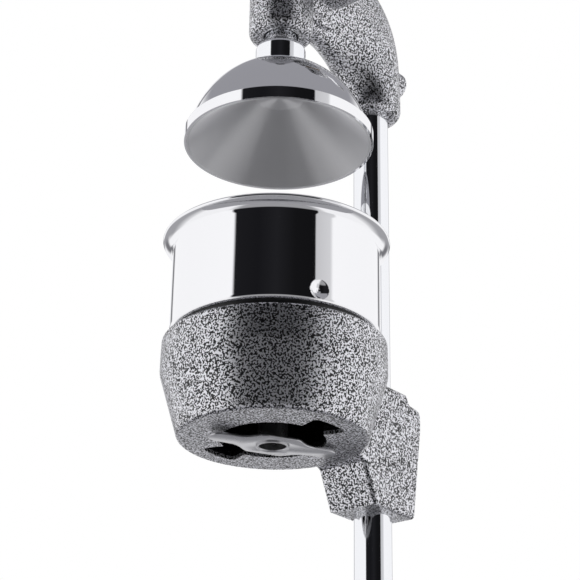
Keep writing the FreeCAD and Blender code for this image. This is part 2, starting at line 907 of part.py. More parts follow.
def make_rack():
    """Round rod with a rack cut in its rear and a stud at its foot."""
    stud_low = dome_rim + cone_height + cone_wall + cone_hub_floor + stud_end_gap
    seat = dome_top + collar_height / 2
    bar = turned([
        (0, stud_low),
        (stud_radius, stud_low),
        (stud_radius, seat),
        (rack_radius, seat),
        (rack_radius, rack_top - rack_top_chamfer),
        (rack_radius - rack_top_chamfer, rack_top),
        (0, rack_top),
    ])
    low = mesh_height - pinion_sweep_reach() - rack_run_out
    high = mesh_height + press_travel + pinion_sweep_reach() + rack_run_out
    corner = Vector(-rack_radius, rack_pitch_offset + module, low)
    bar = bar.cut(Part.makeBox(rack_radius * 2, rack_radius, high - low, corner))
    below = math.floor((mesh_height - low) / pitch - 0.5)
    above = math.floor((high - mesh_height) / pitch - 0.5)
    gaps = [rack_gap_cutter(mesh_height + number * pitch) for number in range(-below, above + 1)]
    bar = bar.cut(Part.makeCompound(gaps))
    hole_low = rack_top - stop_screw_reach - stop_screw_room
    return bar.cut(upright_bar(stop_screw_dia / 2 + slip_fit, hole_low, rack_top + overrun))


def make_rack_stop():
    """Cap on top of the rod that meets the sleeve when the dome is right down."""
    high = rack_top + rack_stop_height
    bore = stop_screw_dia / 2 + slip_fit
    return turned([
        (bore, rack_top),
        (rack_stop_radius, rack_top, rack_stop_foot_round),
        (rack_stop_radius, high, rack_stop_round),
        (bore, high),
    ])


def make_rack_stop_screw():
    """Screw that holds the cap on the rod."""
    screw = button_screw(stop_screw_dia, rack_stop_height + stop_screw_reach)
    return moved_to(screw, up * (rack_top + rack_stop_height), up)


def involute(base_radius, roll):
    """Point of an involute after a roll angle in radians."""
    return (base_radius * (math.cos(roll) + roll * math.sin(roll)),
            base_radius * (math.sin(roll) - roll * math.cos(roll)))


def on_circle(radius, angle):
    """Point of a circle in the plane of the pinion."""
    return Vector(radius * math.cos(angle), radius * math.sin(angle), 0)


def tooth_flank(middle, side):
    """Points of one involute flank of the tooth whose middle is at that angle."""
    base_radius = pitch_radius * math.cos(math.radians(pressure_angle))
    flank_turn = math.tan(math.radians(pressure_angle)) - math.radians(pressure_angle)
    half_tooth = (pitch - tooth_backlash) / 4 / pitch_radius
    last_roll = math.sqrt(((pitch_radius + module) / base_radius) ** 2 - 1)
    points = []
    for step in range(flank_steps + 1):
        x, y = involute(base_radius, last_roll * step / flank_steps)
        angle = middle - side * (half_tooth + flank_turn) + side * math.atan2(y, x)
        points.append(on_circle(math.hypot(x, y), angle))
    return points


def curve_through(points):
    """Smooth edge through the points."""
    curve = Part.BSplineCurve()
    curve.interpolate(points)
    return curve.toShape()


def pinion_outline():
    """Outline of the pinion with true involute flanks, one tooth pointing along the first axis."""
    root = pitch_radius - module * root_share
    tooth_step = 2 * math.pi / pinion_teeth
    edges = []
    for number in range(pinion_teeth):
        middle = number * tooth_step
        rising = tooth_flank(middle, 1)
        falling = tooth_flank(middle, -1)[::-1]
        next_start = tooth_flank(middle + tooth_step, 1)[0]
        start_angle = math.atan2(rising[0].y, rising[0].x)
        end_angle = math.atan2(falling[-1].y, falling[-1].x)
        next_angle = math.atan2(next_start.y, next_start.x)
        if next_angle < end_angle:
            next_angle += 2 * math.pi
        tip = on_circle(pitch_radius + module, middle)
        valley = [on_circle(root, angle) for angle in (end_angle, (end_angle + next_angle) / 2, next_angle)]
        edges.append(Part.LineSegment(on_circle(root, start_angle), rising[0]).toShape())
        edges.append(curve_through(rising))
        edges.append(Part.Arc(rising[-1], tip, falling[0]).toShape())
        edges.append(curve_through(falling))
        edges.append(Part.LineSegment(falling[-1], valley[0]).toShape())
        edges.append(Part.Arc(*valley).toShape())
    return Part.Wire(edges)


def key_space(extra):
    """Block of the key that locks pinion and shaft, grown by a clearance."""
    length = key_length + extra * 2
    width = key_width + extra * 2
    low = mesh_height + shaft_radius - key_height / 2 - extra
    return Part.makeBox(length, width, key_height + extra * 2, Vector(-length / 2, pinion_back - width / 2, low))


def shaft_bar(radius, left, right):
    """Round bar on the pinion's axis."""
    return Part.makeCylinder(radius, right - left, Vector(left, pinion_back, mesh_height), across)


def make_pinion():
    """Pinion with involute teeth and a keyway."""
    gear = Part.Face(pinion_outline()).extrude(up * pinion_width)
    gear.rotate(centre, backward, 90)
    gear.rotate(centre, across, -90)
    gear.translate(Vector(-pinion_width / 2, pinion_back, mesh_height))
    bore = shaft_bar(shaft_radius + slip_fit, -pinion_width, pinion_width)
    return gear.cut(bore).cut(key_space(slip_fit))


def make_pinion_shaft():
    """Shaft with a key seat and a clip groove."""
    bar = shaft_bar(shaft_radius, clip_face - clip_thickness - shaft_end_reach, hub_far)
    bar = bar.cut(key_space(slip_fit))
    groove = shaft_bar(shaft_radius + overrun, clip_face - clip_thickness - slip_fit, clip_face)
    core = shaft_bar(shaft_radius - clip_groove, clip_face - clip_thickness - overrun, clip_face + overrun)
    return bar.cut(groove.cut(core))


def make_pinion_key():
    """Key between pinion and shaft."""
    return key_space(0.0)


def make_shaft_clip():
    """Open clip in the groove at the shaft's left end."""
    right = clip_face - slip_fit / 2
    left = right - clip_thickness + slip_fit
    inner = shaft_radius - clip_groove
    clip = shaft_bar(inner + clip_width, left, right)
    clip = clip.cut(shaft_bar(inner + slip_fit, left - overrun, right + overrun))
    reach = shaft_radius + clip_width
    corner = Vector(left - overrun, pinion_back - clip_mouth / 2, mesh_height - reach)
    return clip.cut(Part.makeBox(clip_thickness + overrun * 2, clip_mouth, reach, corner))


def make_shaft_bushes():
    """Bronze bushes in the head and in the cover, each with a flange outside."""
    bore = shaft_radius + running_fit
    spans = (
        (gear_cavity_right, bearing_right, bearing_right, bearing_right + bush_flange),
        (case_cover_face, cover_inner_face, case_cover_face - bush_flange, case_cover_face),
    )
    bushes = []
    for left, right, flange_left, flange_right in spans:
        bush = shaft_bar(bush_outer_radius, left, right).fuse(shaft_bar(bush_flange_radius, flange_left, flange_right))
        low = min(left, flange_left) - overrun
        high = max(right, flange_right) + overrun
        bushes.append(bush.cut(shaft_bar(bore, low, high)))
    return Part.makeCompound(bushes)


def cover_screw_places():
    """Centres of the cover's screws on the cover's outer face."""
    places = []
    for number in range(cover_screw_count):
        turn = math.radians(cover_screw_turn + number * 360 / cover_screw_count)
        places.append(Vector(case_cover_face, pinion_back + cover_screw_circle * math.cos(turn),
                             mesh_height + cover_screw_circle * math.sin(turn)))
    return places


def make_gear_cover():
    """Round cover of the gear case, with a spigot that holds the left bush."""
    disc = shaft_bar(gear_case_radius, case_cover_face, -gear_case_left)
    outer_edge = [edge for edge in disc.Edges if abs(edge.BoundBox.XMax - case_cover_face) < pick_tolerance]
    disc = disc.makeFillet(cover_edge_round, outer_edge)
    spigot = shaft_bar(gear_cavity_radius - slip_fit * 2, -gear_case_left, -gear_case_left + cover_spigot_depth)
    hub = shaft_bar(cover_spigot_radius, -gear_case_left, cover_inner_face)
    cover = disc.fuse(spigot).fuse(hub)
    cover = cover.cut(shaft_bar(bush_outer_radius + slip_fit, case_cover_face - overrun, cover_inner_face + overrun))
    cover = cover.cut(upright_bar(rack_radius + cover_rod_gap, mesh_height - gear_case_radius - overrun,
                                  mesh_height + gear_case_radius + overrun))
    for place in cover_screw_places():
        hole = rod(cover_screw_dia / 2 + cover_screw_clearance, place - across * overrun,
                   place + across * (cover_thickness + cover_spigot_depth + overrun))
        cover = cover.cut(hole)
    return cover.removeSplitter()


def make_gear_cover_screws():
    """Screws of the gear cover."""
    screw = button_screw(cover_screw_dia, cover_thickness + cover_screw_reach)
    return Part.makeCompound([moved_to(screw, place, across * -1) for place in cover_screw_places()])


def neck_outside(distance):
    """Point on the neck's outer line: up the hub's rear, round the bend and forward."""
    straight = neck_bend_rise - head_hub_bottom_rise
    bend = neck_bend_radius * math.pi / 2
    rear = column_back + head_hub_radius
    bend_height = rim_height + neck_bend_rise
    if distance <= straight:
        return Vector(0, rear, bend_height - straight + distance)
    turn = min((distance - straight) / neck_bend_radius, math.pi / 2)
    forward = max(distance - straight - bend, 0.0)
    return Vector(0, rear - neck_bend_radius * (1 - math.cos(turn)) - forward,
                  bend_height + neck_bend_radius * math.sin(turn))


def neck_inside(distance):
    """Point on the neck's inner line: up the hub's front and over the arch."""
    front = column_back - head_hub_radius
    arch_back = column_back - arch_forward
    arch_centre = rim_height + arch_centre_rise
    start_turn = math.acos((front - arch_back) / arch_radius)
    start_height = arch_centre + arch_radius * math.sin(start_turn)
    straight = start_height - rim_height - head_hub_bottom_rise
    if distance <= straight:
        return Vector(0, front, start_height - straight + distance)
    turn = min(start_turn + (distance - straight) / arch_radius, math.pi / 2)
    forward = max(distance - straight - (math.pi / 2 - start_turn) * arch_radius, 0.0)
    return Vector(0, arch_back + arch_radius * math.cos(turn) - forward, arch_centre + arch_radius * math.sin(turn))


def neck_sections(count):
    """Oval sections of the goose neck, from the column's hub forward into the rod's sleeve."""
    reach = column_back - neck_end
    outside_length = (neck_bend_rise - head_hub_bottom_rise + neck_bend_radius * math.pi / 2
                      + reach + head_hub_radius - neck_bend_radius)
    front_turn = math.acos((arch_forward - head_hub_radius) / arch_radius)
    inside_length = (arch_centre_rise + arch_radius * math.sin(front_turn) - head_hub_bottom_rise
                     + (math.pi / 2 - front_turn) * arch_radius + reach - arch_forward)
    shares = [number / neck_points for number in range(neck_points + 1)]
    wires = []
    for station in range(count + 1):
        share = station / count
        low = neck_inside(inside_length * share)
        high = neck_outside(outside_length * share)
        width = head_hub_radius + (neck_side_radius - head_hub_radius) * share
        middle = (low + high) * 0.5
        half = (high - low) * 0.5
        points = []
        for number in range(neck_points):
            turn = 2 * math.pi * number / neck_points
            points.append(middle + half * math.cos(turn) + across * (width * math.sin(turn)))
        curve = Part.BSplineCurve()
        curve.interpolate(Points=points, PeriodicFlag=True, Parameters=shares)
        wires.append(Part.Wire(curve.toShape()))
    return wires


def goose_neck():
    """Neck drawn through the first number of sections that gives a sound solid."""
    for count in neck_section_counts:
        try:
            neck = Part.makeLoft(neck_sections(count), True, False)
        except Part.OCCError:
            continue
        if neck.isValid() and neck.Volume > 0:
            break
    return neck


def sleeve_mouth():
    """Rounded mouth of the rod's bore at the foot of the sleeve."""
    bore = rack_radius + running_fit
    wide = bore + sleeve_mouth_round + overrun
    return turned([
        (0, sleeve_bottom - overrun),
        (wide, sleeve_bottom - overrun),
        (wide, sleeve_bottom),
        (bore, sleeve_bottom, sleeve_mouth_round),
        (bore, sleeve_bottom + sleeve_mouth_round + overrun),
        (0, sleeve_bottom + sleeve_mouth_round + overrun),
    ])


def hub_rim():
    """Ring outside the rounded lower rim of the column's hub."""
    low = rim_height + head_hub_bottom_rise
    round_face = head_hub_radius + hub_round_lead
    floor_edge = round_face - hub_round
    outside = round_face + hub_round
    return turned([
        (floor_edge, low - overrun),
        (outside, low - overrun),
        (outside, low + hub_round),
        (round_face, low + hub_round),
        (round_face, low, hub_round),
        (floor_edge, low),
    ], column_back)


def rounded_bar_end(bar, right, radius):
    """Bar on the pinion's axis with its right rim rounded."""
    rim = [edge for edge in bar.Edges if abs(edge.BoundBox.XMin - right) < pick_tolerance]
    return bar.makeFillet(radius, rim)


def make_head_casting():
    """Goose-neck casting: hub on the column, arm, sleeve of the rod, gear case and shaft bearing."""
    sleeve = turned([
        (0, sleeve_bottom),
        (sleeve_radius, sleeve_bottom, sleeve_round),
        (sleeve_radius, sleeve_top, sleeve_top_round),
        (0, sleeve_top),
    ])
    hub_low = rim_height + head_hub_bottom_rise
    neck = goose_neck().cut(hub_rim())
    case = rounded_bar_end(shaft_bar(gear_case_radius, -gear_case_left, gear_case_right), gear_case_right,
                           case_edge_round)
    bearing = rounded_bar_end(shaft_bar(bearing_radius, 0, bearing_right), bearing_right, bearing_edge_round)
    boss_height = rim_height + screw_boss_rise
    boss_back = column_back + screw_boss_reach
    boss = rod(screw_boss_radius, Vector(0, column_back + column_radius, boss_height), Vector(0, boss_back, boss_height))
    boss_rim = [edge for edge in boss.Edges if edge.BoundBox.YMin > boss_back - pick_tolerance]
    boss = boss.makeFillet(screw_boss_round, boss_rim)
    body = sleeve.fuse(neck).fuse(case).fuse(bearing).fuse(boss)
    body = body.cut(column_bore(hub_low - overrun, column_top))
    body = body.cut(upright_bar(rack_radius + running_fit, sleeve_bottom - overrun, sleeve_top + overrun))
    body = body.cut(sleeve_mouth())
    body = body.cut(shaft_bar(gear_cavity_radius, -gear_case_left - overrun, gear_cavity_right))
    body = body.cut(shaft_bar(bush_outer_radius + slip_fit, 0, bearing_right + overrun))
    body = body.cut(set_screw_hole(boss_height, boss_back))
    for place in cover_screw_places():
        start = Vector(-gear_case_left - overrun, place.y, place.z)
        depth = overrun + cover_screw_reach + cover_screw_room
        body = body.cut(rod(cover_screw_dia / 2 + slip_fit, start, start + across * depth))
    return body.removeSplitter()


def make_head_set_screw():
    """Set screw that fixes the head on the column."""
    return set_screw_at(rim_height + screw_boss_rise)


def lever_way():
    """Direction in which the lever leaves its hub at rest."""
    lean = math.radians(lever_lean)
    return Vector(0, math.sin(lean), math.cos(lean))


def lever_centre():
    """Middle of the lever's hub, on the pinion's axis."""
    return Vector((hub_near + hub_far) / 2, pinion_back, mesh_height)


def lever_seat():
    """Floor of the hub's socket, where the rod ends."""
    return lever_centre() + lever_way() * (lever_socket_reach - lever_socket_depth)


def make_lever_hub():
    """Hub on the shaft with a socket for the lever's rod."""
    hub = shaft_bar(lever_hub_radius, hub_near, hub_far)
    ends = [edge for edge in hub.Edges if edge.BoundBox.XLength < pick_tolerance]
    hub = hub.makeFillet(lever_hub_round, ends)
    middle = lever_centre()
    way = lever_way()
    socket = Part.makeCone(lever_socket_root_radius, lever_socket_end_radius, lever_socket_reach, middle, way)
    hub = hub.fuse(socket)
    hub = hub.cut(shaft_bar(shaft_radius + slip_fit, hub_near - overrun, hub_far + overrun))
    hub = hub.cut(rod(lever_rod_radius + slip_fit, lever_seat(), middle + way * (lever_socket_reach + overrun)))
    hub = hub.cut(rod(hub_screw_dia / 2 + slip_fit, middle - way * (lever_hub_radius + overrun), middle))
    return hub.removeSplitter()


def make_hub_screw():
    """Set screw that fixes the hub on the shaft."""
    way = lever_way() * -1
    start = lever_centre() + way * (shaft_radius + slip_fit)
    return moved_to(set_screw(hub_screw_dia, hub_screw_length), start, way)


def make_shaft_cap():
    """Domed cap over the shaft's end in the hub."""
    cap = turned([
        (0, 0),
        (cap_radius, 0),
        (cap_radius, cap_band, cap_band_round),
        (cap_top_radius, cap_height, cap_round),
        (0, cap_height),
    ])
    return moved_to(cap, Vector(hub_far, pinion_back, mesh_height), across)


def lever_end():
    """Upper end of the lever's rod, and the two corners that its bends round off."""
    way = lever_way()
    crank = math.radians(lever_crank)
    outward = across * math.sin(crank) + way * math.cos(crank)
    first = lever_centre() + way * lever_first_run
    second = first + outward * lever_second_run
    return second + way * lever_third_run, first, second


def make_lever_rod():
    """Cranked rod of the lever: three straight runs with two bends."""
    end, first, second = lever_end()
    points = [lever_seat(), first, second, end]
    edges = []
    start = points[0]
    for index in (1, 2):
        corner = points[index]
        before = points[index - 1] - corner
        after = points[index + 1] - corner
        before.normalize()
        after.normalize()
        half_turn = before.getAngle(after) / 2
        setback = lever_bend_radius / math.tan(half_turn)
        inward = before + after
        inward.normalize()
        entry = corner + before * setback
        middle = corner + inward * (lever_bend_radius / math.sin(half_turn) - lever_bend_radius)
        leave = corner + after * setback
        edges.append(Part.LineSegment(start, entry).toShape())
        edges.append(Part.Arc(entry, middle, leave).toShape())
        start = leave
    edges.append(Part.LineSegment(start, end).toShape())
    circle = Part.Wire(Part.makeCircle(lever_rod_radius, lever_seat(), lever_way()))
    return Part.Wire(edges).makePipeShell([circle], True, False)


def grip_start():
    """Where the grip's lower end sits on the rod."""
    return lever_end()[0] - lever_way() * (grip_length - grip_wall_end)


def make_lever_grip():
    """Plastic grip with a waist and a round end, open below for the rod."""
    bore = lever_rod_radius + slip_fit
    grip = turned([
        (bore, 0),
        (grip_neck_radius, 0, grip_foot_round),
        (grip_neck_radius - grip_waist_inset, grip_length * grip_waist_share, grip_waist_round),
        (grip_radius, grip_length * grip_swell_share, grip_swell_round),
        (grip_radius - grip_top_inset, grip_length, grip_top_round),
        (0, grip_length),
        (0, grip_length - grip_wall_end),
        (bore, grip_length - grip_wall_end),
    ])
    return moved_to(grip, grip_start(), lever_way())


def make_lever_ferrule():
    """Chromed ring below the grip."""
    bore = lever_rod_radius + slip_fit
    ferrule = turned([
        (bore, 0),
        (ferrule_radius - ferrule_foot_inset, 0, ferrule_foot_round),
        (ferrule_radius, ferrule_length * ferrule_swell_share, ferrule_swell_round),
        (ferrule_radius, ferrule_length),
        (bore, ferrule_length),
    ])
    return moved_to(ferrule, grip_start() - lever_way() * ferrule_length, lever_way())


pieces = {
    "base_casting": make_base_casting,
    "base_edging": make_base_edging,
    "column": make_column,
    "column_washer": make_column_washer,
    "column_bolt": make_column_bolt,
    "bowl_holder": make_bowl_holder,
    "holder_set_screws": make_holder_set_screws,
    "bowl": make_bowl,
    "bowl_seat_ring": make_seat_ring,
    "outlet_tube": make_outlet_tube,
    "wing_plate": make_wing_plate,
    "strainer": make_strainer,
    "press_dome": make_press_dome,
    "press_cone": make_press_cone,
    "press_collar": make_collar,
    "press_rack": make_rack,
    "rack_stop": make_rack_stop,
    "rack_stop_screw": make_rack_stop_screw,
    "head_casting": make_head_casting,
    "head_set_screw": make_head_set_screw,
    "gear_cover": make_gear_cover,
    "gear_cover_screws": make_gear_cover_screws,
    "shaft_bushes": make_shaft_bushes,
    "pinion": make_pinion,
    "pinion_key": make_pinion_key,
    "pinion_shaft": make_pinion_shaft,
    "shaft_clip": make_shaft_clip,
    "lever_hub": make_lever_hub,
    "hub_set_screw": make_hub_screw,
    "shaft_cap": make_shaft_cap,
    "lever_rod": make_lever_rod,
    "lever_ferrule": make_lever_ferrule,
    "lever_grip": make_lever_grip,
}

for name, make in pieces.items():
    shape = make()
    shape.exportStep("parts/" + name + ".step")
    print(name, "solids", len(shape.Solids), "valid", shape.isValid(), "volume", round(shape.Volume, 1))
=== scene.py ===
# %% [markdown]
# # A lever press for citrus fruit
# The press stands on a cast base. A chromed column carries a cast cup for the bowl and, above it, a cast
# goose neck in which a rack and pinion drive the dome down on half a fruit. This lesson takes the packed
# model as a fixed frame and gives every piece its finish. Lengths are in metres, and a size that is known
# in millimetres is written in millimetres times MM. Only the sections of turned pieces, and the dimples
# pressed into one of them, are in plain millimetres.

import json
import math

import bmesh
import bpy
from mathutils import Matrix, Vector


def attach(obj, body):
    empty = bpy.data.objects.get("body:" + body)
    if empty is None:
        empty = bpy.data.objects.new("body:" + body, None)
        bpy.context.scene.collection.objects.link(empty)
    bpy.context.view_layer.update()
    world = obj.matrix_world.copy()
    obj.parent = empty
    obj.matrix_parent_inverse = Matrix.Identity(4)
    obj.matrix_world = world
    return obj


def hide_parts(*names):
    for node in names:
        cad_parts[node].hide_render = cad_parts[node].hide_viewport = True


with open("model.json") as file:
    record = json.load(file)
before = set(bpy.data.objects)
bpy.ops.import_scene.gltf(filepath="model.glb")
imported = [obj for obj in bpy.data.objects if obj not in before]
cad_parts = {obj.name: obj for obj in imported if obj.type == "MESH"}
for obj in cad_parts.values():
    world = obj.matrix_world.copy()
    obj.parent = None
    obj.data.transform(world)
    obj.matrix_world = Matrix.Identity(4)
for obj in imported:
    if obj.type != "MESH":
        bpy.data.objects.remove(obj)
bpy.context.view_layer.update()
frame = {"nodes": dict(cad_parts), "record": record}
MM = 0.001

# %% [markdown]
# ## Two helpers
# A colour is written as the sRGB hex value that an eye reads off a screen, and a shader wants it linear.
# Nodes are added by one function, which takes settings and inputs and links whatever input is a socket.
# Writing each link by hand is the other way, and it hides the recipe behind the wiring.

# %% Colour and node helpers
def colour(code):
    """Linear colour of an sRGB hex value such as #8a8a8c."""
    channels = [int(code[start:start + 2], 16) / 255 for start in (1, 3, 5)]
    linear = [c / 12.92 if c <= 0.04045 else ((c + 0.055) / 1.055) ** 2.4 for c in channels]
    return (*linear, 1.0)


def add_node(tree, kind, settings={}, inputs={}):
    """Adds one node with its settings, and sets or links its inputs."""
    node = tree.nodes.new(kind)
    for name, value in settings.items():
        setattr(node, name, value)
    for name, value in inputs.items():
        socket = node.inputs[name]
        if isinstance(value, bpy.types.NodeSocket):
            tree.links.new(value, socket)
        else:
            socket.default_value = value
    return node


print("mid grey is", [round(c, 3) for c in colour("#808080")])

# %% [markdown]
# ## The camera
# The photograph looks up at the bowl from the front right, so the camera stands low, below the table's
# plane. Its place, heading, tilt and lens come from fitting a pinhole to the round edges of the bowl, the
# dome and the holder. A look-at constraint would also do, but a fitted view has a small roll of its own.

# %% Camera
RIM_HEIGHT = 380 * MM
CAMERA_DISTANCE = 960.5 * MM
CAMERA_DROP = 464.9 * MM
CAMERA_AZIMUTH = math.radians(40.0)
CAMERA_HEADING = math.radians(39.458)
CAMERA_PITCH = math.radians(24.262)
CAMERA_ROLL = math.radians(0.95)
LENS_PIXELS = 1650.0
FRAME_PIXELS = 580
SENSOR_WIDTH = 36.0
CLIP_END = 20.0

camera_place = Vector((CAMERA_DISTANCE * math.sin(CAMERA_AZIMUTH),
                       -CAMERA_DISTANCE * math.cos(CAMERA_AZIMUTH),
                       RIM_HEIGHT - CAMERA_DROP))
forward = Vector((-math.sin(CAMERA_HEADING) * math.cos(CAMERA_PITCH),
                  math.cos(CAMERA_HEADING) * math.cos(CAMERA_PITCH),
                  math.sin(CAMERA_PITCH)))
level_right = forward.cross(Vector((0, 0, 1))).normalized()
level_up = level_right.cross(forward)
right = level_right * math.cos(CAMERA_ROLL) + level_up * math.sin(CAMERA_ROLL)
upward = level_up * math.cos(CAMERA_ROLL) - level_right * math.sin(CAMERA_ROLL)

lens = bpy.data.cameras.new("camera")
lens.sensor_width = SENSOR_WIDTH
lens.lens = LENS_PIXELS * SENSOR_WIDTH / FRAME_PIXELS
lens.clip_end = CLIP_END
camera = bpy.data.objects.new("camera", lens)
bpy.context.scene.collection.objects.link(camera)
turn = Matrix((right, upward, -forward)).transposed().to_4x4()
camera.matrix_world = Matrix.Translation(camera_place) @ turn
bpy.context.scene.camera = camera
bpy.context.scene.view_settings.view_transform = "Standard"
print("lens", round(lens.lens, 1), "mm, camera at", [round(c, 3) for c in camera_place])

# %% [markdown]
# ## The studio
# Chrome shows only what stands around it. In the photograph that is a white tent with a dark gap where the
# photographer stands: the bowl, the collar and the column each carry one wide dark band in front, with white
# on both sides. To the right of the gap hangs a pale grey screen. Real lamps and cards would do the same,
# but a room painted into the world by its compass angle is lighter to render and easier to move.
# The first cell gives the colours of wall and floor all round. The next adds the ceiling and says how high
# each of them reaches.

# %% Wall and floor of the room, by the angle from the camera's side
WALL = (
    (-180, "#f4f4f6"), (-160, "#f4f4f6"), (-157, "#77777b"), (-152, "#77777b"), (-148, "#f7f7f9"),
    (-48, "#fafafc"), (-46, "#8c8c90"), (-45, "#1b1b1e"), (-20, "#17171a"), (0, "#1f1f22"), (20, "#141416"),
    (42.5, "#121214"), (43.5, "#c4c4c7"), (61, "#d2d2d5"), (64, "#fafafc"), (148, "#f7f7f9"),
    (152, "#77777b"), (157, "#77777b"), (160, "#f4f4f6"), (180, "#f4f4f6"),
)
FLOOR = (
    (-180, "#a0a0a4"), (-140, "#a0a0a4"), (-115, "#f4f4f6"), (-55, "#f4f4f6"), (-40, "#9a9a9d"),
    (40, "#9a9a9d"), (55, "#f4f4f6"), (115, "#f4f4f6"), (140, "#a0a0a4"), (180, "#a0a0a4"),
)
towards_camera = Vector((math.sin(CAMERA_AZIMUTH), -math.cos(CAMERA_AZIMUTH), 0))
towards_right = Vector((math.cos(CAMERA_AZIMUTH), math.sin(CAMERA_AZIMUTH), 0))

world = bpy.data.worlds.new("white_tent")
bpy.context.scene.world = world
world.use_nodes = True
tree = world.node_tree
tree.nodes.clear()
way = add_node(tree, "ShaderNodeTexCoord").outputs["Generated"]
ahead = add_node(tree, "ShaderNodeVectorMath", {"operation": "DOT_PRODUCT"}, {0: way, 1: towards_camera})
aside = add_node(tree, "ShaderNodeVectorMath", {"operation": "DOT_PRODUCT"}, {0: way, 1: towards_right})
angle = add_node(tree, "ShaderNodeMath", {"operation": "ARCTAN2"},
                 {0: aside.outputs["Value"], 1: ahead.outputs["Value"]}).outputs[0]
share = add_node(tree, "ShaderNodeMapRange", {},
                 {"Value": angle, "From Min": -math.pi, "From Max": math.pi}).outputs["Result"]
round_room = {}
for part, stops in (("wall", WALL), ("floor", FLOOR)):
    ramp = add_node(tree, "ShaderNodeValToRGB", {}, {"Fac": share})
    while len(ramp.color_ramp.elements) < len(stops):
        ramp.color_ramp.elements.new(1.0)
    for stop, (degrees, code) in zip(ramp.color_ramp.elements, stops):
        stop.position = (degrees + 180) / 360
        stop.color = colour(code)
    round_room[part] = ramp.outputs["Color"]
print("stops on the wall:", len(WALL), "and on the floor:", len(FLOOR))

# %% Ceiling, heights and strength of the room
ROOM_STRENGTH = 1.08
CEILING_GREY = "#94949a"
CEILING_FROM, CEILING_FULL = math.sin(math.radians(38)), math.sin(math.radians(47))
FLOOR_FULL, FLOOR_FROM = math.sin(math.radians(-24)), math.sin(math.radians(-12))

height = add_node(tree, "ShaderNodeSeparateXYZ", {}, {0: way}).outputs["Z"]
in_ceiling = add_node(tree, "ShaderNodeMapRange", {"interpolation_type": "SMOOTHSTEP"},
                      {"Value": height, "From Min": CEILING_FROM, "From Max": CEILING_FULL}).outputs["Result"]
in_floor = add_node(tree, "ShaderNodeMapRange", {"interpolation_type": "SMOOTHSTEP"},
                    {"Value": height, "From Min": FLOOR_FROM, "From Max": FLOOR_FULL}).outputs["Result"]
with_ceiling = add_node(tree, "ShaderNodeMix", {"data_type": "RGBA"},
                        {"Factor": in_ceiling, "A": round_room["wall"], "B": colour(CEILING_GREY)})
room = add_node(tree, "ShaderNodeMix", {"data_type": "RGBA"},
                {"Factor": in_floor, "A": with_ceiling.outputs["Result"], "B": round_room["floor"]})
room_light = add_node(tree, "ShaderNodeBackground", {},
                      {"Color": room.outputs["Result"], "Strength": ROOM_STRENGTH})
white = add_node(tree, "ShaderNodeBackground", {}, {"Color": (1, 1, 1, 1), "Strength": 1.0})
ray = add_node(tree, "ShaderNodeLightPath")
seen = add_node(tree, "ShaderNodeMixShader", {},
                {0: ray.outputs["Is Camera Ray"], 1: room_light.outputs[0], 2: white.outputs[0]})
add_node(tree, "ShaderNodeOutputWorld", {}, {"Surface": seen.outputs[0]})
print("room strength", ROOM_STRENGTH)

# %% [markdown]
# ## The floor
# The camera stands below the table's plane and looks up, so an endless floor would hide the press. A small
# round table top gives the base something to stand on and ends before a line of sight crosses it.

# %% Floor
FLOOR_RADIUS = 300 * MM
FLOOR_SIDES = 96
PAPER_GREY = "#d8d8da"
PAPER_ROUGHNESS = 0.8

floor_mesh = bpy.data.meshes.new("floor")
disc = bmesh.new()
bmesh.ops.create_circle(disc, cap_ends=True, radius=FLOOR_RADIUS, segments=FLOOR_SIDES)
disc.to_mesh(floor_mesh)
disc.free()
floor = bpy.data.objects.new("floor", floor_mesh)
bpy.context.scene.collection.objects.link(floor)
paper = bpy.data.materials.new("matt_paper")
paper.use_nodes = True
paper_shader = paper.node_tree.nodes["Principled BSDF"]
paper_shader.inputs["Base Color"].default_value = colour(PAPER_GREY)
paper_shader.inputs["Roughness"].default_value = PAPER_ROUGHNESS
floor_mesh.materials.append(paper)
print("floor radius", FLOOR_RADIUS)

# %% [markdown]
# ## Finishes
# Each finish below starts from what the real one is and how it was made. A finish is a shader with a few
# plain values, and a pattern that is placed by the object's own coordinates, so that it stays on the piece
# when the piece moves. The helper starts one; the pattern comes in the finish's own cell.

# %% Start of a finish
finishes = {}


def start_finish(slot, name, **surface):
    """New material for a slot of the record. Underscores in a value's name stand for spaces."""
    material = bpy.data.materials.new(name)
    material.use_nodes = True
    tree = material.node_tree
    shader = tree.nodes["Principled BSDF"]
    for key, value in surface.items():
        shader.inputs[key.replace("_", " ")].default_value = value
    place = add_node(tree, "ShaderNodeTexCoord").outputs["Object"]
    finishes[slot] = material
    return tree, shader, place


# %% [markdown]
# ## Vermicular powder coat
# The castings wear a two-tone powder coat: while it cures, silver flake gathers into worms about a
# millimetre wide and leaves the near-black base between them. A noise of two octaves, cut near its
# middle, has just such winding borders, and a slower noise bends it so that the worms curl. An image would
# do too, but it would stretch over the goose neck. The flake is metallic and fairly smooth, so the worms go
# dark where they mirror the gap and pale at the sides. The base between them is black and about as smooth.

# %% Powder coat
WORM_CELL = 1.12 * MM
WORM_FRAY = 0.45
WORM_FROM, WORM_FULL = 0.475, 0.53
WANDER_CELL = 4 * MM
WORM_WANDER = 1.4 * MM
SILVER = "#e6e6ea"
BASE_BLACK = "#060607"
FLAKE_METALLIC = 0.92
BASE_ROUGHNESS, FLAKE_ROUGHNESS = 0.3, 0.33
RELIEF_STRENGTH, RELIEF_HEIGHT = 0.25, 0.08 * MM

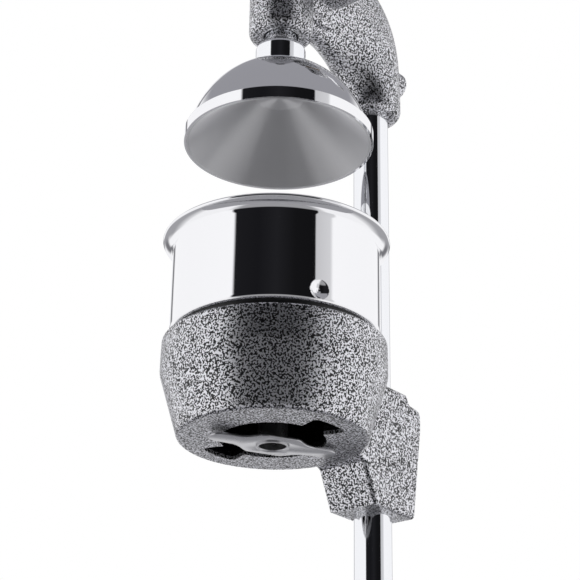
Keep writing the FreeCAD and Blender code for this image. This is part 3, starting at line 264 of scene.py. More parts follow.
tree, shader, place = start_finish("speckled_casting", "aluminium_casting_vermicular_powder_coat", IOR=1.5)
wander = add_node(tree, "ShaderNodeTexNoise", {}, {"Vector": place, "Scale": 1 / WANDER_CELL, "Detail": 1.0})
shift = add_node(tree, "ShaderNodeVectorMath", {"operation": "SCALE"},
                 {0: wander.outputs["Color"], "Scale": WORM_WANDER})
bent = add_node(tree, "ShaderNodeVectorMath", {"operation": "ADD"}, {0: place, 1: shift.outputs[0]})
worms = add_node(tree, "ShaderNodeTexNoise", {},
                 {"Vector": bent.outputs[0], "Scale": 1 / WORM_CELL, "Detail": 1.0, "Roughness": WORM_FRAY})
silver = add_node(tree, "ShaderNodeMapRange", {"interpolation_type": "SMOOTHSTEP"},
                  {"Value": worms.outputs["Fac"], "From Min": WORM_FROM,
                   "From Max": WORM_FULL}).outputs["Result"]
tone = add_node(tree, "ShaderNodeMix", {"data_type": "RGBA"},
                {"Factor": silver, "A": colour(BASE_BLACK), "B": colour(SILVER)}).outputs["Result"]
metal = add_node(tree, "ShaderNodeMapRange", {}, {"Value": silver, "To Min": 0.0, "To Max": FLAKE_METALLIC})
tree.links.new(metal.outputs["Result"], shader.inputs["Metallic"])
rough = add_node(tree, "ShaderNodeMapRange", {},
                 {"Value": silver, "To Min": BASE_ROUGHNESS, "To Max": FLAKE_ROUGHNESS})
tree.links.new(rough.outputs["Result"], shader.inputs["Roughness"])
bump = add_node(tree, "ShaderNodeBump", {},
                {"Height": silver, "Strength": RELIEF_STRENGTH, "Distance": RELIEF_HEIGHT})
tree.links.new(bump.outputs["Normal"], shader.inputs["Normal"])
print("cell of the worms' noise:", round(WORM_CELL / MM, 2), "mm")

# %% [markdown]
# The inside of the cup is painted near-black in place of the worms: painted shade, since the bowl above keeps
# the light out of it. It is the space nearer to the axis than the middle of the cup's leaning wall, and
# between its floor and its rim.

# %% Painted shade inside the cup
CUP_WALL = 61.5 * MM
CUP_FOOT_WALL = 51.5 * MM
CUP_LEAN = 0.34
CUP_FLOOR, CUP_RIM = 249 * MM, 309 * MM
# Near-black of the painted shade inside the cup.
CUP_SHADE_BLACK = "#0e0e10"


def from_axis(tree, place):
    """Socket of a place's distance from the press axis."""
    flat = add_node(tree, "ShaderNodeVectorMath", {"operation": "MULTIPLY"}, {0: place, 1: (1, 1, 0)})
    reach = add_node(tree, "ShaderNodeVectorMath", {"operation": "LENGTH"}, {0: flat.outputs[0]})
    return reach.outputs["Value"]


radius = from_axis(tree, place)
level = add_node(tree, "ShaderNodeSeparateXYZ", {}, {0: place}).outputs["Z"]
rise = add_node(tree, "ShaderNodeMath", {"operation": "SUBTRACT"}, {0: level, 1: CUP_FLOOR}).outputs[0]
leaning = add_node(tree, "ShaderNodeMath", {"operation": "MULTIPLY_ADD"},
                   {0: rise, 1: CUP_LEAN, 2: CUP_FOOT_WALL}).outputs[0]
limit = add_node(tree, "ShaderNodeMath", {"operation": "MINIMUM"}, {0: leaning, 1: CUP_WALL}).outputs[0]
near_axis = add_node(tree, "ShaderNodeMath", {"operation": "LESS_THAN"}, {0: radius, 1: limit})
over_floor = add_node(tree, "ShaderNodeMath", {"operation": "GREATER_THAN"}, {0: level, 1: CUP_FLOOR})
under_rim = add_node(tree, "ShaderNodeMath", {"operation": "LESS_THAN"}, {0: level, 1: CUP_RIM})
inside = add_node(tree, "ShaderNodeMath", {"operation": "MULTIPLY"},
                  {0: near_axis.outputs[0], 1: over_floor.outputs[0]}).outputs[0]
inside = add_node(tree, "ShaderNodeMath", {"operation": "MULTIPLY"},
                  {0: inside, 1: under_rim.outputs[0]}).outputs[0]
# Painted shade: inside the cup the worms give way to near-black.
with_painted_cup_shade = add_node(tree, "ShaderNodeMix", {"data_type": "RGBA"},
                  {"Factor": inside, "A": tone, "B": colour(CUP_SHADE_BLACK)}).outputs["Result"]
tree.links.new(with_painted_cup_shade, shader.inputs["Base Color"])
print("painted shade between", CUP_FLOOR, "and", CUP_RIM)

# %% [markdown]
# ## Polished steel and chrome
# The bowl and the dome are spun from stainless sheet and polished to a mirror. No sheet is quite true after
# spinning, so its reflections waver a little: a slow noise, three centimetres long and a twentieth of a
# millimetre high, bends them. The column, the rod and the collar are ground before they are plated, and
# chrome is the truer mirror, so it gets only faint clouds of handling in its roughness.

# %% Mirror finishes
WAVER_LENGTH = 30 * MM
WAVER_HEIGHT = 0.05 * MM
STEEL_CLOUD, CHROME_CLOUD = 9 * MM, 12 * MM

tree, shader, place = start_finish("polished_steel", "stainless_steel_mirror_polished",
                                   Base_Color=colour("#f2f2f3"), Metallic=1.0)
waver = add_node(tree, "ShaderNodeTexNoise", {}, {"Vector": place, "Scale": 1 / WAVER_LENGTH, "Detail": 0.0})
bump = add_node(tree, "ShaderNodeBump", {},
                {"Height": waver.outputs["Fac"], "Strength": 1.0, "Distance": WAVER_HEIGHT})
tree.links.new(bump.outputs["Normal"], shader.inputs["Normal"])
clouds = add_node(tree, "ShaderNodeTexNoise", {}, {"Vector": place, "Scale": 1 / STEEL_CLOUD, "Detail": 3.0})
rough = add_node(tree, "ShaderNodeMapRange", {},
                 {"Value": clouds.outputs["Fac"], "To Min": 0.03, "To Max": 0.05})
tree.links.new(rough.outputs["Result"], shader.inputs["Roughness"])

tree, shader, place = start_finish("chromed_steel", "steel_ground_and_chrome_plated",
                                   Base_Color=colour("#f0f1f3"), Metallic=1.0)
clouds = add_node(tree, "ShaderNodeTexNoise", {}, {"Vector": place, "Scale": 1 / CHROME_CLOUD, "Detail": 3.0})
rough = add_node(tree, "ShaderNodeMapRange", {},
                 {"Value": clouds.outputs["Fac"], "To Min": 0.03, "To Max": 0.08})
tree.links.new(rough.outputs["Result"], shader.inputs["Roughness"])
print("waver:", WAVER_LENGTH, "long,", WAVER_HEIGHT, "high")

# %% [markdown]
# ## Turned aluminium
# The cone inside the dome is turned on a lathe, and the tool leaves a fine spiral of grooves round the axis.
# Such grooves spread a reflection across themselves and keep it sharp along themselves, so each lamp turns
# into a fan of light that points at the axis. An anisotropic shader whose tangent runs round the axis,
# turned by a quarter, does just that. The real feed is some 0.1 mm a turn, too fine to show here, so the
# rings that change the roughness are drawn about 0.5 mm apart.

# %% Turned aluminium
RING_SPACING = 0.5 * MM

tree, shader, place = start_finish("turned_aluminium", "aluminium_turned",
                                   Base_Color=colour("#eeeeef"), Metallic=1.0, Anisotropic=1.0,
                                   Anisotropic_Rotation=0.25)
rings = add_node(tree, "ShaderNodeTexNoise", {"noise_dimensions": "1D"},
                 {"W": from_axis(tree, place), "Scale": 1 / RING_SPACING, "Detail": 2.0})
rough = add_node(tree, "ShaderNodeMapRange", {},
                 {"Value": rings.outputs["Fac"], "To Min": 0.5, "To Max": 0.58})
tree.links.new(rough.outputs["Result"], shader.inputs["Roughness"])
round_axis = add_node(tree, "ShaderNodeTangent", {"direction_type": "RADIAL", "axis": "Z"})
tree.links.new(round_axis.outputs["Tangent"], shader.inputs["Tangent"])
print("rings are", RING_SPACING, "apart")

# %% [markdown]
# ## Small metal parts
# The wing plate and the outlet are rubbed to a satin, screws and washers are zinc plated, the set screws are
# blackened, the gear teeth are hobbed and oiled, and the bushes are sintered bronze. They differ in colour
# and in how clean the reflection is, and each shows a grain of its own size as a change of roughness, so
# one list of numbers serves them all. A finish of each kind by hand would say the same five times.

# %% Rubbed, plated and cut metals
SMALL_METALS = (
    ("satin_steel", "stainless_steel_satin_rubbed", "#c6c6c8", 0.26, 0.3, 2.5),
    ("zinc_steel", "steel_zinc_plated", "#c3c6ca", 0.22, 0.38, 2.0),
    ("blackened_steel", "steel_blackened", "#2a2a2d", 0.3, 0.45, 1.0),
    ("cut_steel", "steel_hobbed_and_oiled", "#94949a", 0.18, 0.32, 1.0),
    ("bronze", "bronze_sintered", "#a9824c", 0.3, 0.5, 0.6),
)
for slot, name, code, smooth, dull, grain in SMALL_METALS:
    tree, shader, place = start_finish(slot, name, Base_Color=colour(code), Metallic=1.0)
    speck = add_node(tree, "ShaderNodeTexNoise", {},
                     {"Vector": place, "Scale": 1 / (grain * MM), "Detail": 4.0})
    rough = add_node(tree, "ShaderNodeMapRange", {},
                     {"Value": speck.outputs["Fac"], "To Min": smooth, "To Max": dull})
    tree.links.new(rough.outputs["Result"], shader.inputs["Roughness"])
print("small metals:", len(SMALL_METALS))

# %% [markdown]
# ## Rubber and moulded plastic
# The edging under the base and the ring under the bowl are moulded rubber: dark, with a soft sheen. The grip
# is a hard glossy moulding. Both take the grain of their mould, so the same noise gives the roughness
# its clouds and the skin its tiny height.

# %% Moulded pieces
SKIN_STRENGTH = 0.3
MOULDED = (
    ("black_rubber", "rubber_moulded_black", "#131314", 0.35, 0.5, 0.8, 0.012),
    ("black_plastic", "phenolic_resin_moulded_black", "#0d0d0e", 0.14, 0.26, 0.6, 0.004),
)
for slot, name, code, smooth, dull, grain, lift in MOULDED:
    tree, shader, place = start_finish(slot, name, Base_Color=colour(code), IOR=1.52)
    skin = add_node(tree, "ShaderNodeTexNoise", {},
                    {"Vector": place, "Scale": 1 / (grain * MM), "Detail": 3.0})
    rough = add_node(tree, "ShaderNodeMapRange", {},
                     {"Value": skin.outputs["Fac"], "To Min": smooth, "To Max": dull})
    tree.links.new(rough.outputs["Result"], shader.inputs["Roughness"])
    bump = add_node(tree, "ShaderNodeBump", {},
                    {"Height": skin.outputs["Fac"], "Strength": SKIN_STRENGTH, "Distance": lift * MM})
    tree.links.new(bump.outputs["Normal"], shader.inputs["Normal"])

slot_of = {part["node"]: part["material_slot"] for part in frame["record"]["subparts"]}
for name, node in frame["nodes"].items():
    node.data.materials.clear()
    node.data.materials.append(finishes[slot_of[name]])
print("finishes:", sorted(finishes))

# %% [markdown]
# ## A lathe of geometry nodes
# Most bright pieces here were spun or turned, so they follow one rule: a section, carried round an axis.
# The frame's meshes have flat facets. Those are fine enough for a casting, but a mirror shows
# every one. The lathe is one node tree. It lays out a grid with a row for each point of the section and a
# column for each side, then bends the grid: a row gives radius and height, a column gives the angle.
# The Screw modifier would turn a section as well, but it can't gather its sides where a dimple needs them.

# %% The lathe's inputs
lathe = bpy.data.node_groups.new("lathe", "GeometryNodeTree")
LATHE_INPUTS = (
    ("Section", "NodeSocketGeometry"), ("Sides", "NodeSocketInt"), ("Dimples", "NodeSocketInt"),
    ("Gathering", "NodeSocketFloat"), ("Dimple Angle", "NodeSocketFloat"), ("Foot", "NodeSocketVector"),
    ("Lean", "NodeSocketVector"), ("Finish", "NodeSocketMaterial"),
)
for name, kind in LATHE_INPUTS:
    lathe.interface.new_socket(name, in_out="INPUT", socket_type=kind)
lathe.interface.new_socket("Piece", in_out="OUTPUT", socket_type="NodeSocketGeometry")
lathe_socket = {item.name: item.identifier for item in lathe.interface.items_tree if item.in_out == "INPUT"}
given = add_node(lathe, "NodeGroupInput").outputs
print("inputs:", list(lathe_socket))

# %% Rows and columns of the grid
GRID_SIZE = 1.0

rows = add_node(lathe, "GeometryNodeAttributeDomainSize", {},
                {"Geometry": given["Section"]}).outputs["Point Count"]
columns = add_node(lathe, "ShaderNodeMath", {"operation": "ADD"}, {0: given["Sides"], 1: 1.0})
grid = add_node(lathe, "GeometryNodeMeshGrid", {},
                {"Size X": GRID_SIZE, "Size Y": GRID_SIZE, "Vertices X": columns.outputs[0],
                 "Vertices Y": rows}).outputs["Mesh"]
grid_place = add_node(lathe, "GeometryNodeInputPosition").outputs[0]
spot = add_node(lathe, "ShaderNodeSeparateXYZ", {}, {0: grid_place})
across = add_node(lathe, "ShaderNodeMath", {"operation": "ADD"}, {0: spot.outputs["X"], 1: GRID_SIZE / 2})
even_turn = add_node(lathe, "ShaderNodeMath", {"operation": "MULTIPLY"},
                     {0: across.outputs[0], 1: 2 * math.pi}).outputs[0]
along = add_node(lathe, "ShaderNodeMath", {"operation": "ADD"}, {0: spot.outputs["Y"], 1: GRID_SIZE / 2})
last_row = add_node(lathe, "ShaderNodeMath", {"operation": "SUBTRACT"}, {0: rows, 1: 1.0})
near_row = add_node(lathe, "ShaderNodeMath", {"operation": "MULTIPLY"},
                    {0: along.outputs[0], 1: last_row.outputs[0]})
row = add_node(lathe, "ShaderNodeMath", {"operation": "ROUND"}, {0: near_row.outputs[0]}).outputs[0]
print("nodes so far:", len(lathe.nodes))

# %% Angle of a column, gathered round the dimples
from_dimple = add_node(lathe, "ShaderNodeMath", {"operation": "SUBTRACT"},
                       {0: even_turn, 1: given["Dimple Angle"]})
past_dimple = add_node(lathe, "ShaderNodeMath", {"operation": "MULTIPLY"},
                       {0: from_dimple.outputs[0], 1: given["Dimples"]})
wave = add_node(lathe, "ShaderNodeMath", {"operation": "SINE"}, {0: past_dimple.outputs[0]})
strength = add_node(lathe, "ShaderNodeMath", {"operation": "DIVIDE"},
                    {0: given["Gathering"], 1: given["Dimples"]})
pull = add_node(lathe, "ShaderNodeMath", {"operation": "MULTIPLY"},
                {0: wave.outputs[0], 1: strength.outputs[0]})
turn_angle = add_node(lathe, "ShaderNodeMath", {"operation": "SUBTRACT"},
                      {0: even_turn, 1: pull.outputs[0]}).outputs[0]
print("nodes so far:", len(lathe.nodes))

# %% Bend the grid into the piece
LATHE_MERGE = 0.001 * MM

section_place = add_node(lathe, "GeometryNodeInputPosition").outputs[0]
sampled = add_node(lathe, "GeometryNodeSampleIndex", {"data_type": "FLOAT_VECTOR", "domain": "POINT"},
                   {"Geometry": given["Section"], "Value": section_place, "Index": row}).outputs["Value"]
on_section = add_node(lathe, "ShaderNodeSeparateXYZ", {}, {0: sampled})
swung = []
for operation in ("COSINE", "SINE"):
    share_of_radius = add_node(lathe, "ShaderNodeMath", {"operation": operation}, {0: turn_angle})
    swung.append(add_node(lathe, "ShaderNodeMath", {"operation": "MULTIPLY"},
                          {0: on_section.outputs["X"], 1: share_of_radius.outputs[0]}).outputs[0])
bent_place = add_node(lathe, "ShaderNodeCombineXYZ", {},
                      {"X": swung[0], "Y": swung[1], "Z": on_section.outputs["Z"]}).outputs[0]
bent_grid = add_node(lathe, "GeometryNodeSetPosition", {}, {"Geometry": grid, "Position": bent_place})
closed = add_node(lathe, "GeometryNodeMergeByDistance", {},
                  {"Geometry": bent_grid.outputs[0], "Distance": LATHE_MERGE})
placed = add_node(lathe, "GeometryNodeTransform", {},
                  {"Geometry": closed.outputs[0], "Translation": given["Foot"], "Rotation": given["Lean"]})
realized = add_node(lathe, "GeometryNodeRealizeInstances", {}, {"Geometry": placed.outputs[0]})
finished = add_node(lathe, "GeometryNodeSetMaterial", {},
                    {"Geometry": realized.outputs[0], "Material": given["Finish"]})
add_node(lathe, "NodeGroupOutput", {}, {"Piece": finished.outputs[0]})
print("nodes in the lathe:", len(lathe.nodes))

# %% [markdown]
# ## From nodes to a plain mesh
# A modifier's input is set by its socket's identifier. The evaluated object is then copied into a plain
# mesh, because an export can't carry a live tree. The seam and the poles are already merged, so the faces
# can be turned outwards, and edges sharper than 30 degrees are marked so that flats stay flat.

# %% Plain mesh of an evaluated object
SHARP = math.radians(30)
SETTLE_MERGE = 0.0005 * MM


def settle(piece):
    """Turns an object with modifiers into a plain mesh with faces outwards and smooth shading."""
    evaluated = piece.evaluated_get(bpy.context.evaluated_depsgraph_get())
    mesh = bpy.data.meshes.new_from_object(evaluated)
    piece.modifiers.clear()
    piece.data = mesh
    shell = bmesh.new()
    shell.from_mesh(mesh)
    bmesh.ops.remove_doubles(shell, verts=shell.verts, dist=SETTLE_MERGE)
    bmesh.ops.recalc_face_normals(shell, faces=shell.faces)
    shell.to_mesh(mesh)
    shell.free()
    mesh.shade_smooth()
    mesh.set_sharp_from_angle(angle=SHARP)
    return piece


def stand_for(piece, node):
    """The piece moves with the node's body and is shown in the node's place, while the node is hidden."""
    body = next(name for name, nodes in BODY_NODES.items() if node in nodes)
    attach(piece, body)
    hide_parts(node)
    print(piece.name, "has", len(piece.data.polygons), "faces and rides on", body)


BODY_NODES = frame["record"]["behaviour"]["bodies"]
print("bodies:", list(BODY_NODES))

# %% Turn a section
def turn_piece(name, node, section, sides=256, foot=(0, 0, 0), lean=(0, 0, 0), dimples=1, gathering=0.0,
               dimple_angle=0.0):
    """Piece turned from a closed section of (radius, height) in millimetres, in place of a CAD node."""
    loop = [(r * MM, 0, z * MM) for r, z in section]
    loop.append(loop[0])
    mesh = bpy.data.meshes.new(name)
    mesh.from_pydata(loop, [(i, i + 1) for i in range(len(loop) - 1)], [])
    piece = bpy.data.objects.new(name, mesh)
    bpy.context.scene.collection.objects.link(piece)
    turning = piece.modifiers.new("turning", "NODES")
    turning.node_group = lathe
    values = {"Sides": sides, "Dimples": dimples, "Gathering": gathering, "Dimple Angle": dimple_angle,
              "Foot": [value * MM for value in foot], "Lean": list(lean), "Finish": finishes[slot_of[node]]}
    for label, value in values.items():
        turning[lathe_socket[label]] = value
    return settle(piece)


print("lathe ready")

# %% [markdown]
# ## Sections with rounded corners
# A section is written as a maker would dimension it: corners with a radius where the tool or the roller
# leaves one. The helper puts a true arc in each such corner. It also adds a point a quarter of a millimetre
# beyond each arc, because smooth shading blends the light between neighbouring points, and without them
# the arc's shading would creep along the flat beside it. Sheet gets its second side at one wall's distance.

# %% Rounded section
ARC_STEPS = 10
GUARD = 0.25
SAME_POINT = 1e-4


def rounded_section(corners):
    """Points of a closed line through corners (radius, height, round) in millimetres."""
    points = []
    count = len(corners)
    for index, corner in enumerate(corners):
        here = Vector(corner[:2])
        before = Vector(corners[index - 1][:2]) - here
        after = Vector(corners[(index + 1) % count][:2]) - here
        reach = min(before.length, after.length) / 2
        before.normalize()
        after.normalize()
        bend = corner[2] if len(corner) > 2 else 0.0
        if not bend:
            points.append(here)
            continue
        half = before.angle(after) / 2
        setback = bend / math.tan(half)
        middle = here + (before + after).normalized() * (bend / math.sin(half))
        guard = min(GUARD, max(reach * 2 - setback, 0) / 2)
        points.append(here + before * (setback + guard))
        start = here + before * setback - middle
        sweep = start.angle_signed(here + after * setback - middle)
        for step in range(ARC_STEPS + 1):
            points.append(middle + Matrix.Rotation(-sweep * step / ARC_STEPS, 2) @ start)
        points.append(here + after * (setback + guard))
    return [tuple(point) for index, point in enumerate(points)
            if (point - points[index - 1]).length > SAME_POINT]


square = rounded_section([(10, 0, 2), (20, 0, 2), (20, 10, 2), (10, 10, 2)])
print("a rounded square has", len(square), "points, from", min(square), "to", max(square))

# %% Section of a sheet, and a bulged side
ARC_SLACK = 0.9995


def sheet_section(line, wall):
    """Closed section of a sheet: an open line of corners, and its copy one wall to the left of it."""
    points = [Vector(corner[:2]) for corner in line]
    ways = [(b - a).normalized() for a, b in zip(points, points[1:])]
    normals = [Vector((-way.y, way.x)) for way in ways]
    copy = []
    for index, point in enumerate(points):
        mitre = normals[max(index - 1, 0)] + normals[min(index, len(normals) - 1)]
        mitre = mitre * (wall * 2 / mitre.dot(mitre))
        bend = line[index][2] if len(line[index]) > 2 else 0.0
        if bend:
            turn_left = ways[index - 1].x * ways[index].y - ways[index - 1].y * ways[index].x > 0
            bend = bend - wall if turn_left else bend + wall
        copy.append((point.x + mitre.x, point.y + mitre.y, bend))
    return list(line) + copy[::-1]


def bulged_corner(start, end, bulge):
    """Corner whose rounding is the arc that swells from start to end by the given bulge."""
    chord = Vector(end) - Vector(start)
    half = chord.length / 2
    turn = 2 * math.atan(bulge / half)
    outward = Vector((chord.y, -chord.x)).normalized()
    corner = (Vector(start) + Vector(end)) / 2 + outward * half * math.tan(turn)
    return (corner.x, corner.y, half / math.sin(turn) * ARC_SLACK)


print("bulged corner:", [round(v, 1) for v in bulged_corner((60, 0), (20, 50), 7)])

# %% [markdown]
# ## Dome, cone and collar
# The dome is one spun sheet with a plain band round its mouth and a shallow swell above. The cone is turned
# from aluminium and closes the dome from below, and the chromed collar joins both to the rod. All three
# are bodies of revolution, so they come off the lathe. Heights count from the table.

# %% Dome
DOME_RIM, DOME_TOP = 453.2, 509.9
DOME_RADIUS, DOME_SHEET = 62.9, 1.5
BAND_HEIGHT, BAND_STRAIGHT, BAND_ROUND = 9.3, 8.3, 0.8
SHOULDER_RADIUS, CROWN_RADIUS, DOME_SWELL = 60.5, 21.0, 7.1
STUD_HOLE = 7.02
DOME_SIDES = 288

dome_shoulder = (SHOULDER_RADIUS, DOME_RIM + BAND_HEIGHT)
dome_crown = (CROWN_RADIUS, DOME_TOP)
dome_line = [(DOME_RADIUS, DOME_RIM), (DOME_RADIUS, DOME_RIM + BAND_STRAIGHT, BAND_ROUND), dome_shoulder,
             bulged_corner(dome_shoulder, dome_crown, DOME_SWELL), dome_crown, (STUD_HOLE, DOME_TOP)]
dome_section = rounded_section(sheet_section(dome_line, DOME_SHEET))
dome = turn_piece("spun_dome", "press_dome", dome_section, DOME_SIDES)
stand_for(dome, "press_dome")

# %% Cone
CONE_CEILING = DOME_RIM + 37.6
CONE_TOP_RADIUS, CONE_MOUTH, CONE_RADIUS = 17.6, 59.9, 61.38
CONE_RIM_HEIGHT, CONE_BACK_RIM, CONE_BACK_TOP = 3.0, 59.4, 18.8
CONE_WALL, STUD_HOLE_FLOOR, HUB_RADIUS = 2.4, 4.4, 14.0
CONE_TOP_ROUND, CONE_MOUTH_ROUND, CONE_BACK_ROUND = 1.5, 0.4, 2.0

cone_back = CONE_CEILING + CONE_WALL
cone_rim_top = DOME_RIM + CONE_RIM_HEIGHT
hub_top = DOME_TOP - DOME_SHEET
hole_floor = CONE_CEILING + STUD_HOLE_FLOOR
cone_section = [
    (0, CONE_CEILING), (CONE_TOP_RADIUS, CONE_CEILING, CONE_TOP_ROUND),
    (CONE_MOUTH, DOME_RIM, CONE_MOUTH_ROUND), (CONE_RADIUS, DOME_RIM),
    (CONE_RADIUS, cone_rim_top), (CONE_BACK_RIM, cone_rim_top),
    (CONE_BACK_TOP, cone_back, CONE_BACK_ROUND), (HUB_RADIUS, cone_back, CONE_BACK_ROUND),
    (HUB_RADIUS, hub_top), (STUD_HOLE, hub_top), (STUD_HOLE, hole_floor), (0, hole_floor),
]
cone = turn_piece("turned_cone", "press_cone", rounded_section(cone_section), DOME_SIDES)
stand_for(cone, "press_cone")

# %% Collar
COLLAR_TOP = DOME_TOP + 19.5
COLLAR_RADIUS, ROD_HOLE = 17.1, 11.02
ROD_SEAT = DOME_TOP + 9.75
COLLAR_FOOT_ROUND, COLLAR_TOP_ROUND = 0.8, 4.5
COLLAR_SIDES = 160

collar_section = [
    (STUD_HOLE, DOME_TOP), (COLLAR_RADIUS, DOME_TOP, COLLAR_FOOT_ROUND),
    (COLLAR_RADIUS, COLLAR_TOP, COLLAR_TOP_ROUND), (ROD_HOLE, COLLAR_TOP), (ROD_HOLE, ROD_SEAT),
    (STUD_HOLE, ROD_SEAT),
]
collar = turn_piece("chromed_collar", "press_collar", rounded_section(collar_section), COLLAR_SIDES)
stand_for(collar, "press_collar")

# %% [markdown]
# ## Bowl
# The bowl is spun from one sheet: a funnel below, a straight wall, and a flared lip whose edge is rolled into
# a bead. Three dimples are pressed in from outside, and the strainer stands on them. The lathe gathers its
# sides round the dimples, and rows are added at their height, so that there are enough points to press.

# %% Section of the bowl
SHEET = 1.2
BOWL_RIM = 380.0
BOWL_RADIUS, WALL_DEPTH = 66.8, 66.8
BOWL_BOTTOM = BOWL_RIM - WALL_DEPTH
FUNNEL_RADIUS, FUNNEL_DEPTH = 60.3, 74
SPOUT_RADIUS, SPOUT_DEPTH = 10.0, 118
BEND_ROUND = 3.0
LIP_RADIUS, LIP_DEPTH, LIP_ROUND = 73.2, 6, 5.5
BEAD, BEAD_START, BEAD_TURN, BEAD_STEPS = 1.3, -90, 298.3, 18
DIMPLE_HEIGHT = BOWL_RIM - 58.7
ROWS_REACH, ROW_STEP, ROW_MARGIN = 7, 0.4, 0.1
UPRIGHT_WITHIN = 1e-3

bead_middle = (LIP_RADIUS - BEAD, BOWL_RIM - BEAD)
bead_points = []
for step in range(BEAD_STEPS + 1):
    bead_angle = math.radians(BEAD_START + BEAD_TURN * step / BEAD_STEPS)
    bead_points.append((bead_middle[0] + BEAD * math.cos(bead_angle),
                        bead_middle[1] + BEAD * math.sin(bead_angle)))
bowl_line = [(SPOUT_RADIUS, BOWL_RIM - SPOUT_DEPTH), (FUNNEL_RADIUS, BOWL_RIM - FUNNEL_DEPTH, BEND_ROUND),
             (FUNNEL_RADIUS, BOWL_BOTTOM), (BOWL_RADIUS, BOWL_BOTTOM, BEND_ROUND),
             (BOWL_RADIUS, BOWL_RIM - LIP_DEPTH, LIP_ROUND), bead_points[0]]
both_sides = sheet_section(bowl_line, SHEET)
count = len(bowl_line)
bowl_section = rounded_section(both_sides[:count - 1] + bead_points + both_sides[count + 1:])


def with_rows(section, low, high, step):
    """The section with extra points on its upright runs between two heights."""
    filled = []
    for here, after in zip(section, section[1:] + section[:1]):
        filled.append(here)
        if abs(here[0] - after[0]) < UPRIGHT_WITHIN:
            rises = [low + step * number for number in range(int((high - low) / step) + 1)]
            lowest = min(here[1], after[1]) + ROW_MARGIN
            highest = max(here[1], after[1]) - ROW_MARGIN
            between = [z for z in rises if lowest < z < highest]
            filled += [(here[0], z) for z in (between if after[1] > here[1] else between[::-1])]
    return filled


bowl_section = with_rows(bowl_section, DIMPLE_HEIGHT - ROWS_REACH, DIMPLE_HEIGHT + ROWS_REACH, ROW_STEP)
print("points in the bowl's section:", len(bowl_section))

# %% Press the dimples
DIMPLE_RADIUS, DIMPLE_DEPTH = 6.2, 2.2
MARK_RADIUS, MARK_DEPTH = 1.4, 0.5
DIMPLES, FIRST_DIMPLE, GATHERING = 3, -26.7, 0.8
DIMPLE_ANGLES = [math.radians(FIRST_DIMPLE + 360 / DIMPLES * number) for number in range(DIMPLES)]
NEAR_DIMPLE = DIMPLE_RADIUS + 2
WALL_FROM = 62
BOWL_SIDES = 384


def ball_of(radius, depth):
    """Radius of the ball that presses a dent of that radius and depth."""
    return (radius ** 2 + depth ** 2) / (2 * depth)


def press_dimples(mesh):
    """Moves the wall's points inwards on to the balls that press the dimples."""
    dent, mark = ball_of(DIMPLE_RADIUS, DIMPLE_DEPTH), ball_of(MARK_RADIUS, MARK_DEPTH)
    dent_floor = BOWL_RADIUS - DIMPLE_DEPTH
    moved = 0
    for point in mesh.vertices:
        x, y, z = (value / MM for value in point.co)
        reach = math.hypot(x, y)
        if abs(z - DIMPLE_HEIGHT) > NEAR_DIMPLE or reach < WALL_FROM:
            continue
        outside = reach > BOWL_RADIUS - SHEET / 2
        for turned_by in DIMPLE_ANGLES:
            outward = Vector((math.cos(turned_by), math.sin(turned_by)))
            sideways = Vector((-outward.y, outward.x))
            out, side = outward.dot((x, y)), sideways.dot((x, y))
            away = math.hypot(side, z - DIMPLE_HEIGHT)
            if out < 0 or away > dent + SHEET:
                continue
            grown = dent if outside else dent + SHEET
            depth = dent_floor + dent - math.sqrt(grown ** 2 - away ** 2) if away < grown else out
            if outside and away < mark:
                depth = min(depth, dent_floor - MARK_DEPTH + mark - math.sqrt(mark ** 2 - away ** 2))
            if depth < out:
                flat_place = outward * depth + sideways * side
                point.co = Vector((flat_place.x, flat_place.y, z)) * MM
                moved += 1
    return moved


bowl = turn_piece("spun_bowl", "bowl", bowl_section, BOWL_SIDES, dimples=DIMPLES, gathering=GATHERING,
                  dimple_angle=DIMPLE_ANGLES[0])
print("points pressed:", press_dimples(bowl.data))
bowl.data.set_sharp_from_angle(angle=SHARP)
stand_for(bowl, "bowl")

# %% [markdown]
# ## Column and outlet
# The column is a ground and chromed bar with a small chamfer at each end and a tapped hole in its foot. The
# outlet is a short tube, flared over the wing plate. The lathe's Foot input carries a section to an axis of
# its own, so the column's section is drawn round zero like all the others.

# %% Column
COLUMN_FOOT, COLUMN_TOP = 17.5, 575.0
COLUMN_RADIUS, CHAMFER, CHAMFER_GUARD = 12.5, 1.0, 0.3
BOLT_HOLE, BOLT_HOLE_TOP = 5.02, 51.5
COLUMN_PLACE = (0, 103, 0)
COLUMN_SIDES = 160

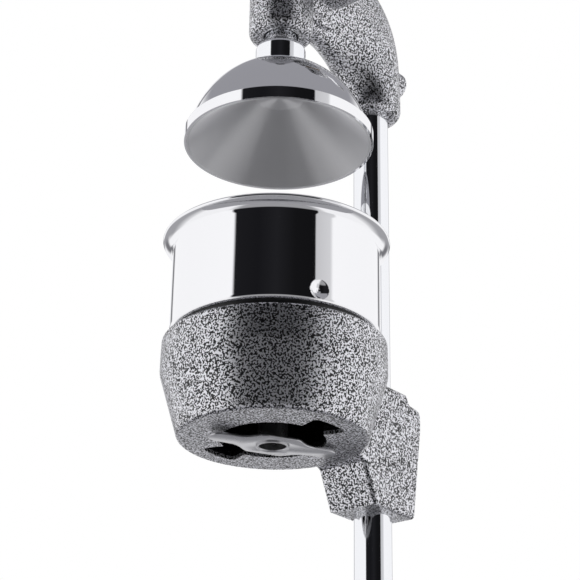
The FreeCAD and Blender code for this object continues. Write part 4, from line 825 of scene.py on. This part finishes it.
above_foot, below_top = COLUMN_FOOT + CHAMFER, COLUMN_TOP - CHAMFER
column_section = [
    (BOLT_HOLE, COLUMN_FOOT), (COLUMN_RADIUS - CHAMFER, COLUMN_FOOT), (COLUMN_RADIUS, above_foot),
    (COLUMN_RADIUS, above_foot + CHAMFER_GUARD), (COLUMN_RADIUS, below_top - CHAMFER_GUARD),
    (COLUMN_RADIUS, below_top), (COLUMN_RADIUS - CHAMFER, COLUMN_TOP), (0, COLUMN_TOP), (0, BOLT_HOLE_TOP),
    (BOLT_HOLE, BOLT_HOLE_TOP),
]
column = turn_piece("chromed_column", "column", column_section, COLUMN_SIDES, foot=COLUMN_PLACE)
stand_for(column, "column")

# %% Outlet tube
TUBE_FOOT, TUBE_TOP = 242.0, 266.0
TUBE_RADIUS, TUBE_BORE = 9.2, 8.3
FLARE_RADIUS, FLARE_MOUTH, FLARE_HEIGHT = 10.2, 9.1, 0.8
MOUTH_ROUND, FLARE_ROUND, BORE_ROUND = 0.2, 0.3, 0.8
TUBE_SIDES = 96

flare_top = TUBE_FOOT + FLARE_HEIGHT
tube_section = [
    (FLARE_MOUTH, TUBE_FOOT, MOUTH_ROUND), (FLARE_RADIUS, TUBE_FOOT, FLARE_ROUND), (FLARE_RADIUS, flare_top),
    (TUBE_RADIUS, flare_top), (TUBE_RADIUS, TUBE_TOP), (TUBE_BORE, TUBE_TOP),
    (TUBE_BORE, flare_top, BORE_ROUND),
]
tube = turn_piece("flared_outlet", "outlet_tube", rounded_section(tube_section), TUBE_SIDES)
stand_for(tube, "outlet_tube")

# %% [markdown]
# ## Wing plate
# The wing plate is punched from strip and tumbled, which breaks its edges: each catches a thin line of light.
# A merged copy of the frame's plate gets those edges from a Bevel modifier, limited to sharp angles, since a
# bevel drawn into every outline by hand would have to follow each curve of the wings.

# %% Broken edges on the plate
EDGE_BREAK, EDGE_STEPS = 0.45 * MM, 2
EDGE_ANGLE = math.radians(40)
FLAT_WITHIN = math.radians(0.5)
PLATE_MERGE = 0.001 * MM

plate = bpy.data.objects.new("tumbled_wing_plate", frame["nodes"]["wing_plate"].data.copy())
bpy.context.scene.collection.objects.link(plate)
merged = bmesh.new()
merged.from_mesh(plate.data)
bmesh.ops.remove_doubles(merged, verts=merged.verts, dist=PLATE_MERGE)
bmesh.ops.dissolve_limit(merged, angle_limit=FLAT_WITHIN, verts=merged.verts, edges=merged.edges)
merged.to_mesh(plate.data)
merged.free()
broken = plate.modifiers.new("broken_edges", "BEVEL")
broken.width = EDGE_BREAK
broken.segments = EDGE_STEPS
broken.limit_method = "ANGLE"
broken.angle_limit = EDGE_ANGLE
settle(plate)
stand_for(plate, "wing_plate")
